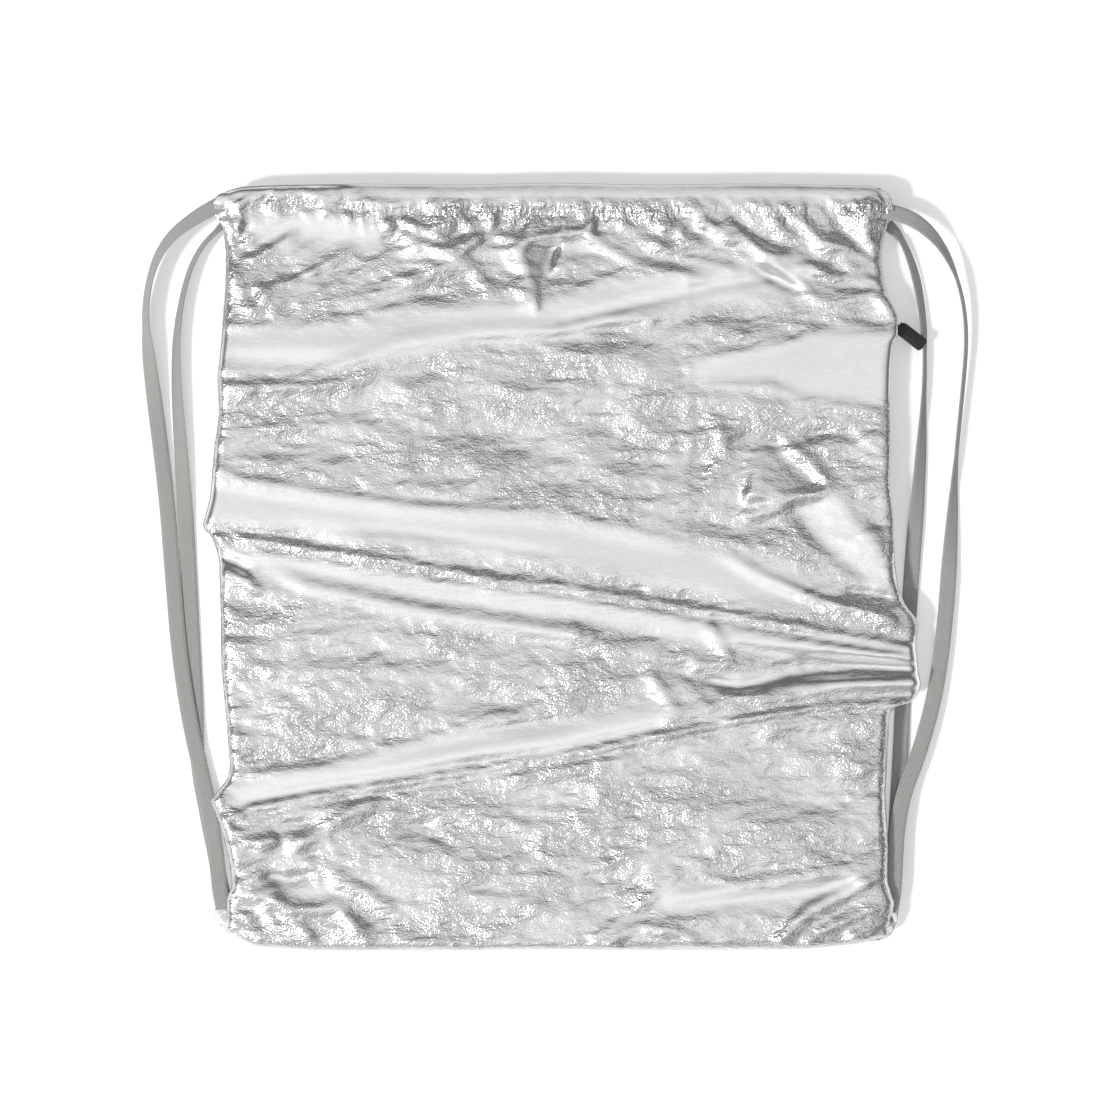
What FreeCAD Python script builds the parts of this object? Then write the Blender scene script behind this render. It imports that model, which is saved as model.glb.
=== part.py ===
import FreeCAD, Part
import math
import os
from FreeCAD import Vector

os.makedirs("parts", exist_ok=True)

# A foil drawstring bag, empty and lying on its back panel.
# Millimetres: +X to the right, +Y towards the mouth, +Z up, origin at the
# centre of the face that it rests on.

# ---- driving dimensions ------------------------------------------------
BAG_WIDTH = 414.0
BAG_HEIGHT = 480.0
BAG_LOFT = 24.0            # thickness of the empty bag as it lies
CLOTH = 0.5
CORNER_R = 18.0            # bottom corners, seen from above
EDGE_R = 4.0               # roll of the cloth over the side, where the wall is tall enough
SEAM_ALLOWANCE = 10.0      # turned in all round
SEAM_GAP = 0.5             # between the two turned-in edges, filled by the thread
SEAM_LINE = 4.0            # thread line, in from the edge
SEAM_THREAD = 0.8
SIDE_OPENING = 44.0        # side seams stop this far below the mouth

CHANNEL_DEPTH = 18.0       # hem for the drawcord, along Y
CHANNEL_ROOM = 4.0         # free height inside the hem
CHANNEL_END = 25.0         # hem facing stops this far in from the side
STITCH_LENGTH = 3.0
STITCH_PITCH = 4.0
STITCH_WIDTH = 0.5
STITCH_RAISE = 0.3

TAPE_WIDTH = 10.0          # drawcord
TAPE_THICK = 1.2
CORD_SIDE_PLAY = 0.1       # cord edge to hem wall
CORD_FACE_PLAY = 0.5       # cord face to hem wall
CORD_TURN_IN = 7.0         # centre of a cord's turn, in from the bag's side
LEFT_STRAND_IN = 47.0      # where a strand starts, in from the bag's side
RIGHT_STRAND_IN = 31.0

BINDING = 0.5
BINDING_LAP = 5.0          # binding over the turned-in edge

TAB_PLAY = 0.2             # tab to bag side
TAB_WALL = 0.5
TAB_CORD_PLAY = 0.5
TAB_LOW = 4.0              # tab's lower edge, up from the bag's bottom
TAB_HEM = 4.0              # closed end of the tab
TAB_POCKET = 14.0          # how deep the cord ends sit in the tab
TAB_CORD_SPLIT = 1.6       # between the two cord ends inside the tab
TAB_TAIL = 9.0             # sewn into the seam, in from the bag's side
BARTACK = 0.8

ZIP_LENGTH = 152.0
ZIP_BELOW_MOUTH = 78.0     # top of the teeth
ZIP_WINDOW = 11.0          # opening in the side wall, along Z
ZIP_WINDOW_END = 5.0       # window beyond the teeth
ZIP_TAPE_END = 9.0         # woven tape beyond the teeth
ZIP_TAPE_THICK = 0.6
ZIP_TAPE_REACH = 7.0       # tape edge from the seam line
ZIP_SLIT = 0.8             # between the two rows
COIL_RAISE = 2.4
COIL_SPINE_IN = 1.4        # spine of a row, from the seam line
COIL_SPINE_OUT = 3.2
TOOTH_PITCH = 2.0
TOOTH_LENGTH = 0.8
TOOTH_RAISE = 1.6
STOP_LENGTH = 2.0

SLIDER_LENGTH = 11.0
SLIDER_HALF_WIDTH = 4.7
SLIDER_PLATE = 1.2
SLIDER_PLAY = 0.3
SLIDER_RAIL = 1.1
SLIDER_WEB = 0.4
SLIDER_BELOW_TOP = 7.0     # slider's middle from the top of the teeth, zip shut
BRIDGE_LENGTH = 6.4
BRIDGE_WIDTH = 1.6
BRIDGE_ROOM = 2.5
BRIDGE_WALL = 1.0

PULL_ANGLE = -38.0         # from +X, as the pull lies at rest
PULL_WIRE = 1.3
PULL_WIRE_SPREAD = 2.2     # legs of the loop at the hinge, each side of its middle
PULL_WIRE_TIP_SPREAD = 0.8
PULL_WIRE_REACH = 8.5
GRIP_START = 6.5           # from the hinge axis
GRIP_END = 25.0
GRIP_WIDTH = 8.6
GRIP_THICK = 4.0
GRIP_CORNER_R = 2.4
RIB_COUNT = 5
RIB_LENGTH = 5.6
RIB_RAISE = 0.4

POCKET_DEPTH = 121.0       # pocket inner edge, in from the zip tape
POCKET_CLOTH = 0.4
POCKET_BELOW_ROOF = 6.0    # pocket's front layer, up from the seam line
POCKET_GAP = 0.4           # between the layers where they lie flat
POCKET_MOUTH_RUN = 4.0     # back layer, level part beside the zip
POCKET_SLOPE_RUN = 16.0
POCKET_BINDING_LAP = 3.0

# ---- places worked out from them ---------------------------------------
HALF_W = BAG_WIDTH / 2
MOUTH_Y = BAG_HEIGHT / 2
BOTTOM_Y = -BAG_HEIGHT / 2
SEAM_Z = BAG_LOFT / 2
WALL_IN = HALF_W - CLOTH
ROLL_R = min(EDGE_R, SEAM_Z - ZIP_TAPE_REACH)    # keeps the wall flat behind the zip tape
FOOT_Z = SEAM_Z + SEAM_GAP / 2
SIDE_SEAM_TOP = MOUTH_Y - SIDE_OPENING
CHANNEL_Y = MOUTH_Y - CHANNEL_DEPTH
ROOF_Z = BAG_LOFT - CLOTH
FACING_Z = ROOF_Z - CHANNEL_ROOM
OVERRUN = 30.0             # cutters and blanks past the mouth
CLEAR = 1.0                # cutters past what they cut

LEFT_CORD_Y = MOUTH_Y - CLOTH - CORD_SIDE_PLAY - TAPE_WIDTH / 2
RIGHT_CORD_Y = CHANNEL_Y + CLOTH + CORD_SIDE_PLAY + TAPE_WIDTH / 2
LEFT_CORD_Z = ROOF_Z - CORD_FACE_PLAY - TAPE_THICK / 2
RIGHT_CORD_Z = FACING_Z + CORD_FACE_PLAY + TAPE_THICK / 2

TAB_X = HALF_W + TAB_PLAY + TAB_WALL + TAB_CORD_PLAY + TAPE_WIDTH / 2
TAB_CORD_END = BOTTOM_Y + TAB_LOW + TAB_HEM
TAB_TOP = TAB_CORD_END + TAB_POCKET

ZIP_TOP = MOUTH_Y - ZIP_BELOW_MOUTH
ZIP_BOTTOM = ZIP_TOP - ZIP_LENGTH
TAPE_Y0 = ZIP_BOTTOM - ZIP_TAPE_END
TAPE_Y1 = ZIP_TOP + ZIP_TAPE_END
TAPE_X = WALL_IN - ZIP_TAPE_THICK
COIL_X = WALL_IN + COIL_RAISE
SLIDER_Y = ZIP_TOP - SLIDER_BELOW_TOP
PLATE_X = COIL_X + SLIDER_PLAY
BRIDGE_X = PLATE_X + SLIDER_PLATE
HINGE = Vector(BRIDGE_X + BRIDGE_ROOM / 2, SLIDER_Y, SEAM_Z)

# ---- routes of the four free strands ------------------------------------
# Each starts in its hem, leaves through the gap above the side seam, lies
# down beside the bag and rises into the tab at the bottom corner.
LEFT_FRONT_ROUTE = [
    (-160, 234.4, 22.4), (-182, 234.4, 22.4), (-204, 231, 22.4), (-224, 222.5, 21.6),
    (-241, 208, 18), (-253, 187, 12.5), (-258.5, 158, 7.5), (-256, 126, 4.6),
    (-250.5, 86, 3.4), (-245.5, 40, 2.8), (-242.5, -8, 2.8), (-238.5, -56, 2.8),
    (-230.5, -100, 2.8), (-221.5, -137, 3.2), (-216, -166, 5), (-213.6, -191, 9.4),
    (-213.2, -212, 13.4), (-213.2, -232, 13.4)]
LEFT_BACK_ROUTE = [
    (-160, 234.4, 1.6), (-182, 234.4, 1.6), (-198, 226.5, 1.6), (-210.5, 213, 1.6),
    (-222, 196.5, 1.4), (-232, 173, 1), (-238.4, 143, 1), (-239.2, 108, 1),
    (-235.6, 62, 1), (-233, 12, 1), (-230.8, -38, 1), (-228.4, -84, 1),
    (-227, -124, 1), (-221, -156, 1.2), (-215, -182, 3.4), (-213.2, -206.5, 10.6),
    (-213.2, -232, 10.6)]
RIGHT_FRONT_ROUTE = [
    (176, 227.6, 20.6), (190.5, 227.6, 20.6), (206, 222.6, 20.6), (226, 214.8, 19.6),
    (243, 199.5, 16.5), (254, 174.5, 12.5), (258.8, 145, 8.5), (256.5, 110, 5.5),
    (251.8, 66, 3.8), (250, 18, 3), (246.8, -32, 3), (240.5, -76, 3),
    (229.5, -113, 3), (218.5, -141, 3), (214.2, -168, 4.4), (213.4, -191, 9.4),
    (213.2, -212, 13.4), (213.2, -232, 13.4)]
RIGHT_BACK_ROUTE = [
    (176, 227.6, 3.4), (190.5, 227.6, 3.4), (205, 221.5, 3.4), (217, 209, 3.2),
    (225.6, 191.5, 2.4), (231, 167, 1.4), (233, 136, 1), (231.8, 98, 1),
    (229, 52, 1), (225.4, 8, 1), (222.2, -34, 1), (219.4, -75, 1),
    (218, -112, 1), (215.6, -147, 1.2), (214, -180, 3.4), (213.2, -206.5, 10.6),
    (213.2, -232, 10.6)]
ARC_SHARE = 0.45           # of the shorter run beside a bend


def save(name, *solids):
    shape = solids[0] if len(solids) == 1 else Part.makeCompound(list(solids))
    shape.exportStep("parts/" + name + ".step")


def block(x0, x1, y0, y1, z0, z1):
    return Part.makeBox(x1 - x0, y1 - y0, z1 - z0, Vector(x0, y0, z0))


def side_block(side, x0, x1, y0, y1, z0, z1):
    """A block on the right side, or its mirror image on the left."""
    if side < 0:
        x0, x1 = -x1, -x0
    return block(x0, x1, y0, y1, z0, z1)


def flip(shape):
    """The same piece on the back panel: mirrored across the seam line."""
    return shape.mirror(Vector(0, 0, SEAM_Z), Vector(0, 0, 1))


def join(solids):
    return solids[0].multiFuse(solids[1:]).removeSplitter()


# ---- bag panels ----------------------------------------------------------
def outline(inset, top_y):
    """The bag seen from above: square at the top, round at both bottom corners."""
    x = HALF_W - inset
    low = BOTTOM_Y + inset
    r = CORNER_R - inset
    k = r * (1 - math.sqrt(0.5))
    left = [Vector(-x, low + r, 0), Vector(-x + k, low + k, 0), Vector(-x + r, low, 0)]
    right = [Vector(x - r, low, 0), Vector(x - k, low + k, 0), Vector(x, low + r, 0)]
    top = [Vector(x, top_y, 0), Vector(-x, top_y, 0)]
    edges = [Part.LineSegment(top[1], left[0]), Part.Arc(*left),
             Part.LineSegment(left[2], right[0]), Part.Arc(*right),
             Part.LineSegment(right[2], top[0]), Part.LineSegment(top[0], top[1])]
    return Part.Wire([edge.toShape() for edge in edges])


def slab(inset, z0, z1, top_y):
    face = Part.Face(outline(inset, top_y))
    face.translate(Vector(0, 0, z0))
    return face.extrude(Vector(0, 0, z1 - z0))


def rounded_slab(inset, z0, z1, top_y, radius):
    """A slab whose upper rim is rolled over."""
    solid = slab(inset, z0, z1, top_y)
    rim = [e for e in solid.Edges if all(abs(v.Z - z1) < 1e-6 for v in e.Vertexes)]
    return solid.makeFillet(radius, rim)


def ring(inset0, inset1, z0, z1, top_y):
    return slab(inset0, z0, z1, top_y).cut(slab(inset1, z0 - CLEAR, z1 + CLEAR, top_y + CLEAR))


def front_panel():
    """Roof, side walls down to the seam line, and the turned-in seam allowance."""
    past = MOUTH_Y + OVERRUN
    panel = rounded_slab(0, FOOT_Z, BAG_LOFT, past, ROLL_R)
    panel = panel.cut(rounded_slab(CLOTH, FOOT_Z - CLEAR, ROOF_Z, past, ROLL_R - CLOTH))
    panel = panel.fuse(ring(0, SEAM_ALLOWANCE, FOOT_Z, FOOT_Z + CLOTH, SIDE_SEAM_TOP))
    wide = HALF_W + CLEAR
    cuts = [block(-wide, wide, MOUTH_Y, past + CLEAR, 0, BAG_LOFT + CLEAR)]
    for side in (-1, 1):
        cuts.append(side_block(side, HALF_W - SEAM_ALLOWANCE - CLEAR, wide,
                               SIDE_SEAM_TOP, past, 0, ROOF_Z))
        cuts.append(side_block(side, HALF_W - ROLL_R, wide,
                               SIDE_SEAM_TOP, past, 0, BAG_LOFT + CLEAR))
    cuts.append(block(HALF_W - SEAM_ALLOWANCE - CLEAR, wide, ZIP_BOTTOM - ZIP_WINDOW_END,
                      ZIP_TOP + ZIP_WINDOW_END, 0, SEAM_Z + ZIP_WINDOW / 2))
    cuts.append(block(HALF_W - SEAM_ALLOWANCE - CLEAR, WALL_IN, TAPE_Y0 - 2 * CLEAR,
                      TAPE_Y1 + 2 * CLEAR, 0, FOOT_Z + CLOTH + CLEAR))
    for cut in cuts:
        panel = panel.cut(cut)
    return panel.removeSplitter()


def channel_facing():
    """The cloth folded in at the mouth and sewn down: a tunnel for the cords."""
    end = HALF_W - CHANNEL_END
    outer = block(-end, end, CHANNEL_Y, MOUTH_Y, FACING_Z - CLOTH, ROOF_Z)
    inner = block(-end - CLEAR, end + CLEAR, CHANNEL_Y + CLOTH, MOUTH_Y - CLOTH,
                  FACING_Z, ROOF_Z + CLEAR)
    return outer.cut(inner)


def stitches_along_x(y, z):
    end = HALF_W - CHANNEL_END
    count = int((2 * end - STITCH_LENGTH) // STITCH_PITCH) + 1
    first = -((count - 1) * STITCH_PITCH + STITCH_LENGTH) / 2
    return [block(first + i * STITCH_PITCH, first + i * STITCH_PITCH + STITCH_LENGTH,
                  y, y + STITCH_WIDTH, z, z + STITCH_RAISE) for i in range(count)]


# ---- seams ---------------------------------------------------------------
def side_seam_thread(side, y0, y1):
    x0 = HALF_W - SEAM_LINE - SEAM_THREAD
    return side_block(side, x0, x0 + SEAM_THREAD, y0, y1,
                      SEAM_Z - SEAM_GAP / 2, SEAM_Z + SEAM_GAP / 2)


def bottom_seam_thread():
    reach = HALF_W - CORNER_R
    y0 = BOTTOM_Y + SEAM_LINE
    return block(-reach, reach, y0, y0 + SEAM_THREAD,
                 SEAM_Z - SEAM_GAP / 2, SEAM_Z + SEAM_GAP / 2)


def binding_ring():
    """Folded strip that wraps the raw edges of both panels, all the way round."""
    lap = SEAM_ALLOWANCE - BINDING_LAP
    fold = SEAM_GAP / 2 + CLOTH
    outer = ring(lap, SEAM_ALLOWANCE + BINDING, SEAM_Z - fold - BINDING,
                 SEAM_Z + fold + BINDING, SIDE_SEAM_TOP)
    return outer.cut(ring(lap - CLEAR, SEAM_ALLOWANCE, SEAM_Z - fold, SEAM_Z + fold,
                          SIDE_SEAM_TOP + CLEAR))


def binding(side, y0, y1):
    """The stretch of the binding between two heights; side 0 is the bottom seam."""
    if side == 0:
        window = block(-HALF_W, HALF_W, BOTTOM_Y, y1, 0, BAG_LOFT)
    else:
        window = side_block(side, 0, HALF_W, y0, y1, 0, BAG_LOFT)
    return binding_ring().common(window)


# ---- drawcords -----------------------------------------------------------
def channel_run(side, y, z, start):
    """A cord inside both hems: along the front, round the far side, along the back."""
    turn_x = HALF_W - CORD_TURN_IN
    r = z - SEAM_Z
    half = TAPE_THICK / 2
    axis = Vector(0, 1, 0)
    centre = Vector(side * turn_x, y - TAPE_WIDTH / 2, SEAM_Z)
    turn = Part.makeCylinder(r + half, TAPE_WIDTH, centre, axis)
    turn = turn.cut(Part.makeCylinder(r - half, TAPE_WIDTH, centre, axis))
    turn = turn.common(side_block(side, turn_x, HALF_W + BAG_LOFT,
                                  y - TAPE_WIDTH, y + TAPE_WIDTH, -CLEAR, BAG_LOFT + CLEAR))
    legs = [side_block(side, -(HALF_W - start), turn_x, y - TAPE_WIDTH / 2,
                       y + TAPE_WIDTH / 2, level - half, level + half)
            for level in (z, 2 * SEAM_Z - z)]
    return join([turn] + legs)


def rounded_route(points):
    """Straight runs joined by tangent arcs, with the arcs' radii."""
    corners = [Vector(*p) for p in points]
    edges = []
    radii = []
    last = corners[0]
    for before, corner, after in zip(corners, corners[1:], corners[2:]):
        back = before - corner
        ahead = after - corner
        reach = ARC_SHARE * min(back.Length, ahead.Length)
        turn = math.pi - back.getAngle(ahead)
        back.normalize()
        ahead.normalize()
        start = corner + back * reach
        end = corner + ahead * reach
        radius = reach / math.tan(turn / 2)
        bulge = radius * (1 / math.cos(turn / 2) - 1)
        middle = corner + (back + ahead).normalize() * bulge
        edges.append(Part.LineSegment(last, start).toShape())
        edges.append(Part.Arc(start, middle, end).toShape())
        radii.append(radius)
        last = end
    edges.append(Part.LineSegment(last, corners[-1]).toShape())
    return Part.Wire(edges), radii


def strand(name, points):
    """A flat cord lying level along its route."""
    route, radii = rounded_route(points)
    start = Vector(*points[0])
    along = (Vector(*points[1]) - start).normalize()
    across = Vector(0, 0, 1).cross(along) * (TAPE_WIDTH / 2)
    up = Vector(0, 0, TAPE_THICK / 2)
    corners = [start + across + up, start - across + up, start - across - up, start + across - up]
    sweep = Part.BRepOffsetAPI.MakePipeShell(route)
    sweep.setBiNormalMode(Vector(0, 0, 1))
    sweep.add(Part.makePolygon(corners + corners[:1]), False, False)
    sweep.build()
    sweep.makeSolid()
    solid = sweep.shape()
    section = TAPE_WIDTH * TAPE_THICK
    print(name, "length", round(route.Length, 1), "volume / (section * length)",
          round(solid.Volume / (section * route.Length), 4), "valid", solid.isValid(),
          "radii", [round(r) for r in radii])
    return solid


# ---- corner tabs ---------------------------------------------------------
def tab_half_height():
    return TAB_CORD_SPLIT / 2 + TAPE_THICK


def corner_tab(side):
    """A folded sleeve over both cord ends, with a tail sewn into the seam."""
    inner = tab_half_height()
    half_room = TAPE_WIDTH / 2 + TAB_CORD_PLAY
    sleeve = side_block(side, TAB_X - half_room - TAB_WALL, TAB_X + half_room + TAB_WALL,
                        TAB_CORD_END - TAB_HEM, TAB_TOP,
                        SEAM_Z - inner - TAB_WALL, SEAM_Z + inner + TAB_WALL)
    room = side_block(side, TAB_X - half_room, TAB_X + half_room, TAB_CORD_END,
                      TAB_TOP + CLEAR, SEAM_Z - inner, SEAM_Z + inner)
    tail = side_block(side, HALF_W - TAB_TAIL, TAB_X - half_room,
                      TAB_CORD_END - TAB_HEM, TAB_TOP,
                      SEAM_Z - SEAM_GAP / 2, SEAM_Z + SEAM_GAP / 2)
    return sleeve.cut(room).fuse(tail).removeSplitter()


def tab_bartack(side):
    """Three dense rows of thread across the tab."""
    top = SEAM_Z + tab_half_height() + TAB_WALL
    half = TAPE_WIDTH / 2
    rows = []
    for share in (0.25, 0.5, 0.75):
        y = TAB_CORD_END + share * TAB_POCKET
        rows.append(side_block(side, TAB_X - half, TAB_X + half, y - BARTACK / 2,
                               y + BARTACK / 2, top, top + STITCH_RAISE))
    return rows


# ---- zip in the right side -------------------------------------------------
def zip_tape():
    return block(TAPE_X, WALL_IN, TAPE_Y0, TAPE_Y1, SEAM_Z + ZIP_SLIT / 2,
                 SEAM_Z + ZIP_TAPE_REACH)


def zip_row():
    """One row: a spine on the tape and teeth towards the other row."""
    spine = block(WALL_IN, COIL_X, ZIP_BOTTOM, ZIP_TOP,
                  SEAM_Z + COIL_SPINE_IN, SEAM_Z + COIL_SPINE_OUT)
    count = int(ZIP_LENGTH // TOOTH_PITCH)
    teeth = []
    for i in range(count):
        y = ZIP_BOTTOM + (i + 0.5) * TOOTH_PITCH - TOOTH_LENGTH / 2
        teeth.append(block(WALL_IN, WALL_IN + TOOTH_RAISE, y, y + TOOTH_LENGTH,
                           SEAM_Z + ZIP_SLIT / 2, SEAM_Z + COIL_SPINE_IN))
    return join([spine] + teeth)


def zip_stop(y0):
    return block(WALL_IN, COIL_X, y0, y0 + STOP_LENGTH,
                 SEAM_Z - COIL_SPINE_OUT, SEAM_Z + COIL_SPINE_OUT)


def zip_stitches():
    """Stitches on the outside of the wall, above and below the window."""
    level = SEAM_Z + (ZIP_WINDOW / 2 + ZIP_TAPE_REACH) / 2
    y0 = ZIP_BOTTOM - ZIP_WINDOW_END
    length = ZIP_LENGTH + 2 * ZIP_WINDOW_END
    count = int(length // STITCH_PITCH)
    row = []
    for i in range(count):
        y = y0 + (i + 0.5) * length / count - STITCH_LENGTH / 2
        row.append(block(HALF_W, HALF_W + STITCH_RAISE, y, y + STITCH_LENGTH,
                         level - STITCH_WIDTH / 2, level + STITCH_WIDTH / 2))
    return row + [flip(stitch) for stitch in row]


def zip_slider():
    """Two plates either side of the rows, a divider in the slit, and a bridge."""
    y0 = SLIDER_Y - SLIDER_LENGTH / 2
    y1 = SLIDER_Y + SLIDER_LENGTH / 2
    wide = SLIDER_HALF_WIDTH
    inner = block(TAPE_X - SLIDER_PLAY - SLIDER_PLATE, TAPE_X - SLIDER_PLAY, y0, y1,
                  SEAM_Z - wide, SEAM_Z + wide)
    outer = block(PLATE_X, BRIDGE_X, y0, y1, SEAM_Z - wide, SEAM_Z + wide)
    web = block(TAPE_X - SLIDER_PLAY, PLATE_X, y0 + 2 * CLEAR, y1 - 2 * CLEAR,
                SEAM_Z - SLIDER_WEB / 2, SEAM_Z + SLIDER_WEB / 2)
    plates = []
    for plate in (inner, outer):
        corners = [e for e in plate.Edges if abs(e.Length - SLIDER_PLATE) < 1e-6]
        plates.append(plate.makeFillet(CLEAR, corners))
    rail = block(WALL_IN + SLIDER_PLAY, PLATE_X, y0 + CLEAR, y1 - CLEAR,
                 SEAM_Z + wide - SLIDER_RAIL, SEAM_Z + wide)
    arch = block(BRIDGE_X, BRIDGE_X + BRIDGE_ROOM + BRIDGE_WALL,
                 SLIDER_Y - BRIDGE_LENGTH / 2, SLIDER_Y + BRIDGE_LENGTH / 2,
                 SEAM_Z - BRIDGE_WIDTH / 2, SEAM_Z + BRIDGE_WIDTH / 2)
    tops = [e for e in arch.Edges if e.CenterOfMass.x > BRIDGE_X + BRIDGE_ROOM
            and abs(e.CenterOfMass.z - SEAM_Z) < CLEAR / 2]
    arch = arch.makeFillet(BRIDGE_WALL, tops)
    arch = arch.cut(block(BRIDGE_X, BRIDGE_X + BRIDGE_ROOM,
                          SLIDER_Y - BRIDGE_LENGTH / 2 + BRIDGE_WALL,
                          SLIDER_Y + BRIDGE_LENGTH / 2 - BRIDGE_WALL,
                          SEAM_Z - BRIDGE_WIDTH, SEAM_Z + BRIDGE_WIDTH))
    return join(plates + [web, rail, flip(rail), arch])


def place_pull(shape):
    """From the pull's own frame, hinge at its origin, to its place on the slider."""
    shape.rotate(Vector(0, 0, 0), Vector(0, 0, 1), PULL_ANGLE)
    shape.translate(HINGE)
    return shape


def loop_wire():
    """Closed wire loop through the bridge, in the pull's own frame."""
    r = PULL_WIRE / 2
    corners = [Vector(0, 0, -PULL_WIRE_SPREAD), Vector(0, 0, PULL_WIRE_SPREAD),
               Vector(PULL_WIRE_REACH, 0, PULL_WIRE_TIP_SPREAD),
               Vector(PULL_WIRE_REACH, 0, -PULL_WIRE_TIP_SPREAD)]
    solids = []
    for a, b in zip(corners, corners[1:] + corners[:1]):
        solids.append(Part.makeCylinder(r, (b - a).Length, a, b - a))
        solids.append(Part.makeSphere(r, a))
    return solids[0].multiFuse(solids[1:])


def pull_grip():
    """Moulded grip round the end of the loop, with plain ribs on both faces."""
    length = GRIP_END - GRIP_START
    body = block(GRIP_START, GRIP_END, -GRIP_WIDTH / 2, GRIP_WIDTH / 2,
                 -GRIP_THICK / 2, GRIP_THICK / 2)
    tip = [e for e in body.Edges if abs(e.CenterOfMass.x - GRIP_END) < 1e-6
           and abs(e.CenterOfMass.z) < 1e-6]
    body = body.makeFillet(GRIP_CORNER_R, tip)
    ribs = []
    for i in range(RIB_COUNT):
        x = GRIP_START + length * (i + 1) / (RIB_COUNT + 1)
        for side in (-1, 1):
            z0 = side * GRIP_THICK / 2 - (RIB_RAISE if side < 0 else 0)
            ribs.append(block(x - RIB_RAISE, x + RIB_RAISE, -RIB_LENGTH / 2, RIB_LENGTH / 2,
                              z0, z0 + RIB_RAISE))
    return join([body] + ribs).cut(loop_wire())


# ---- inner pocket behind the zip -------------------------------------------
def pocket_levels():
    """Undersides of the back and front layers where they lie flat."""
    front = SEAM_Z + POCKET_BELOW_ROOF - POCKET_CLOTH
    return front - POCKET_GAP - POCKET_CLOTH, front


def pocket_front_layer():
    z = pocket_levels()[1]
    return block(TAPE_X - POCKET_DEPTH, TAPE_X, TAPE_Y0, TAPE_Y1, z, z + POCKET_CLOTH)


def pocket_back_layer():
    """Sewn to the zip's lower tape, passes under the slider, then lies flat."""
    high = pocket_levels()[0]
    low = 2 * SEAM_Z - high - 2 * POCKET_CLOTH
    x = [TAPE_X, TAPE_X - POCKET_MOUTH_RUN, TAPE_X - POCKET_MOUTH_RUN - POCKET_SLOPE_RUN,
         TAPE_X - POCKET_DEPTH]
    z = [low, low, high, high]
    under = [Vector(a, TAPE_Y0, b) for a, b in zip(x, z)]
    over = [p + Vector(0, 0, POCKET_CLOTH) for p in reversed(under)]
    face = Part.Face(Part.makePolygon(under + over + under[:1]))
    return face.extrude(Vector(0, TAPE_Y1 - TAPE_Y0, 0))


def pocket_edge_binding():
    """Strip folded over the two layers along the three closed edges."""
    low, high = pocket_levels()
    x0 = TAPE_X - POCKET_DEPTH
    x1 = TAPE_X - POCKET_MOUTH_RUN - POCKET_SLOPE_RUN
    lap = POCKET_BINDING_LAP
    outer = block(x0 - POCKET_CLOTH, x1, TAPE_Y0 - POCKET_CLOTH, TAPE_Y1 + POCKET_CLOTH,
                  low - POCKET_CLOTH, high + 2 * POCKET_CLOTH)
    middle = block(x0 + lap, x1 + CLEAR, TAPE_Y0 + lap, TAPE_Y1 - lap, 0, BAG_LOFT)
    layers = block(x0, x1 + CLEAR, TAPE_Y0, TAPE_Y1, low, high + POCKET_CLOTH)
    return outer.cut(middle).cut(layers)


# ---- the whole bag ---------------------------------------------------------
def build():
    corner_y = BOTTOM_Y + CORNER_R
    panel = front_panel()
    save("front_panel", panel)
    save("back_panel", flip(panel))
    save("front_channel_facing", channel_facing())
    save("back_channel_facing", flip(channel_facing()))
    save("front_channel_stitching", *stitches_along_x(CHANNEL_Y, BAG_LOFT))
    save("back_channel_stitching", *stitches_along_x(CHANNEL_Y - STITCH_WIDTH - CLOTH, CLOTH))

    zip_gap = 2 * CLEAR
    save("left_seam_stitching", side_seam_thread(-1, TAB_TOP + CLEAR, SIDE_SEAM_TOP))
    save("right_seam_stitching_lower", side_seam_thread(1, TAB_TOP + CLEAR, TAPE_Y0 - zip_gap))
    save("right_seam_stitching_upper", side_seam_thread(1, TAPE_Y1 + zip_gap, SIDE_SEAM_TOP))
    save("bottom_seam_stitching", bottom_seam_thread())
    save("bottom_seam_binding", binding(0, BOTTOM_Y, corner_y))
    save("left_seam_binding", binding(-1, corner_y, SIDE_SEAM_TOP))
    save("right_seam_binding_lower", binding(1, corner_y, TAPE_Y0 - zip_gap))
    save("right_seam_binding_upper", binding(1, TAPE_Y1 + zip_gap, SIDE_SEAM_TOP))

    save("left_cord_channel_run", channel_run(1, LEFT_CORD_Y, LEFT_CORD_Z, LEFT_STRAND_IN))
    save("right_cord_channel_run", channel_run(-1, RIGHT_CORD_Y, RIGHT_CORD_Z, RIGHT_STRAND_IN))
    routes = {"left_cord_front_strand": LEFT_FRONT_ROUTE, "left_cord_back_strand": LEFT_BACK_ROUTE,
              "right_cord_front_strand": RIGHT_FRONT_ROUTE, "right_cord_back_strand": RIGHT_BACK_ROUTE}
    for name, points in routes.items():
        save(name, strand(name, points))
    for side, word in ((-1, "left"), (1, "right")):
        save(word + "_corner_tab", corner_tab(side))
        save(word + "_tab_bartack", *tab_bartack(side))

    save("zip_front_tape", zip_tape())
    save("zip_back_tape", flip(zip_tape()))
    save("zip_front_coil", zip_row())
    save("zip_back_coil", flip(zip_row()))
    save("zip_top_stop", zip_stop(ZIP_TOP))
    save("zip_bottom_stop", zip_stop(ZIP_BOTTOM - STOP_LENGTH))
    save("zip_stitching", *zip_stitches())
    save("zip_slider", zip_slider())
    save("pull_loop", place_pull(loop_wire()))
    save("pull_grip", place_pull(pull_grip()))

    save("pocket_front_layer", pocket_front_layer())
    save("pocket_back_layer", pocket_back_layer())
    save("pocket_edge_binding", pocket_edge_binding())


build()
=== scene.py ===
import math

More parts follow.
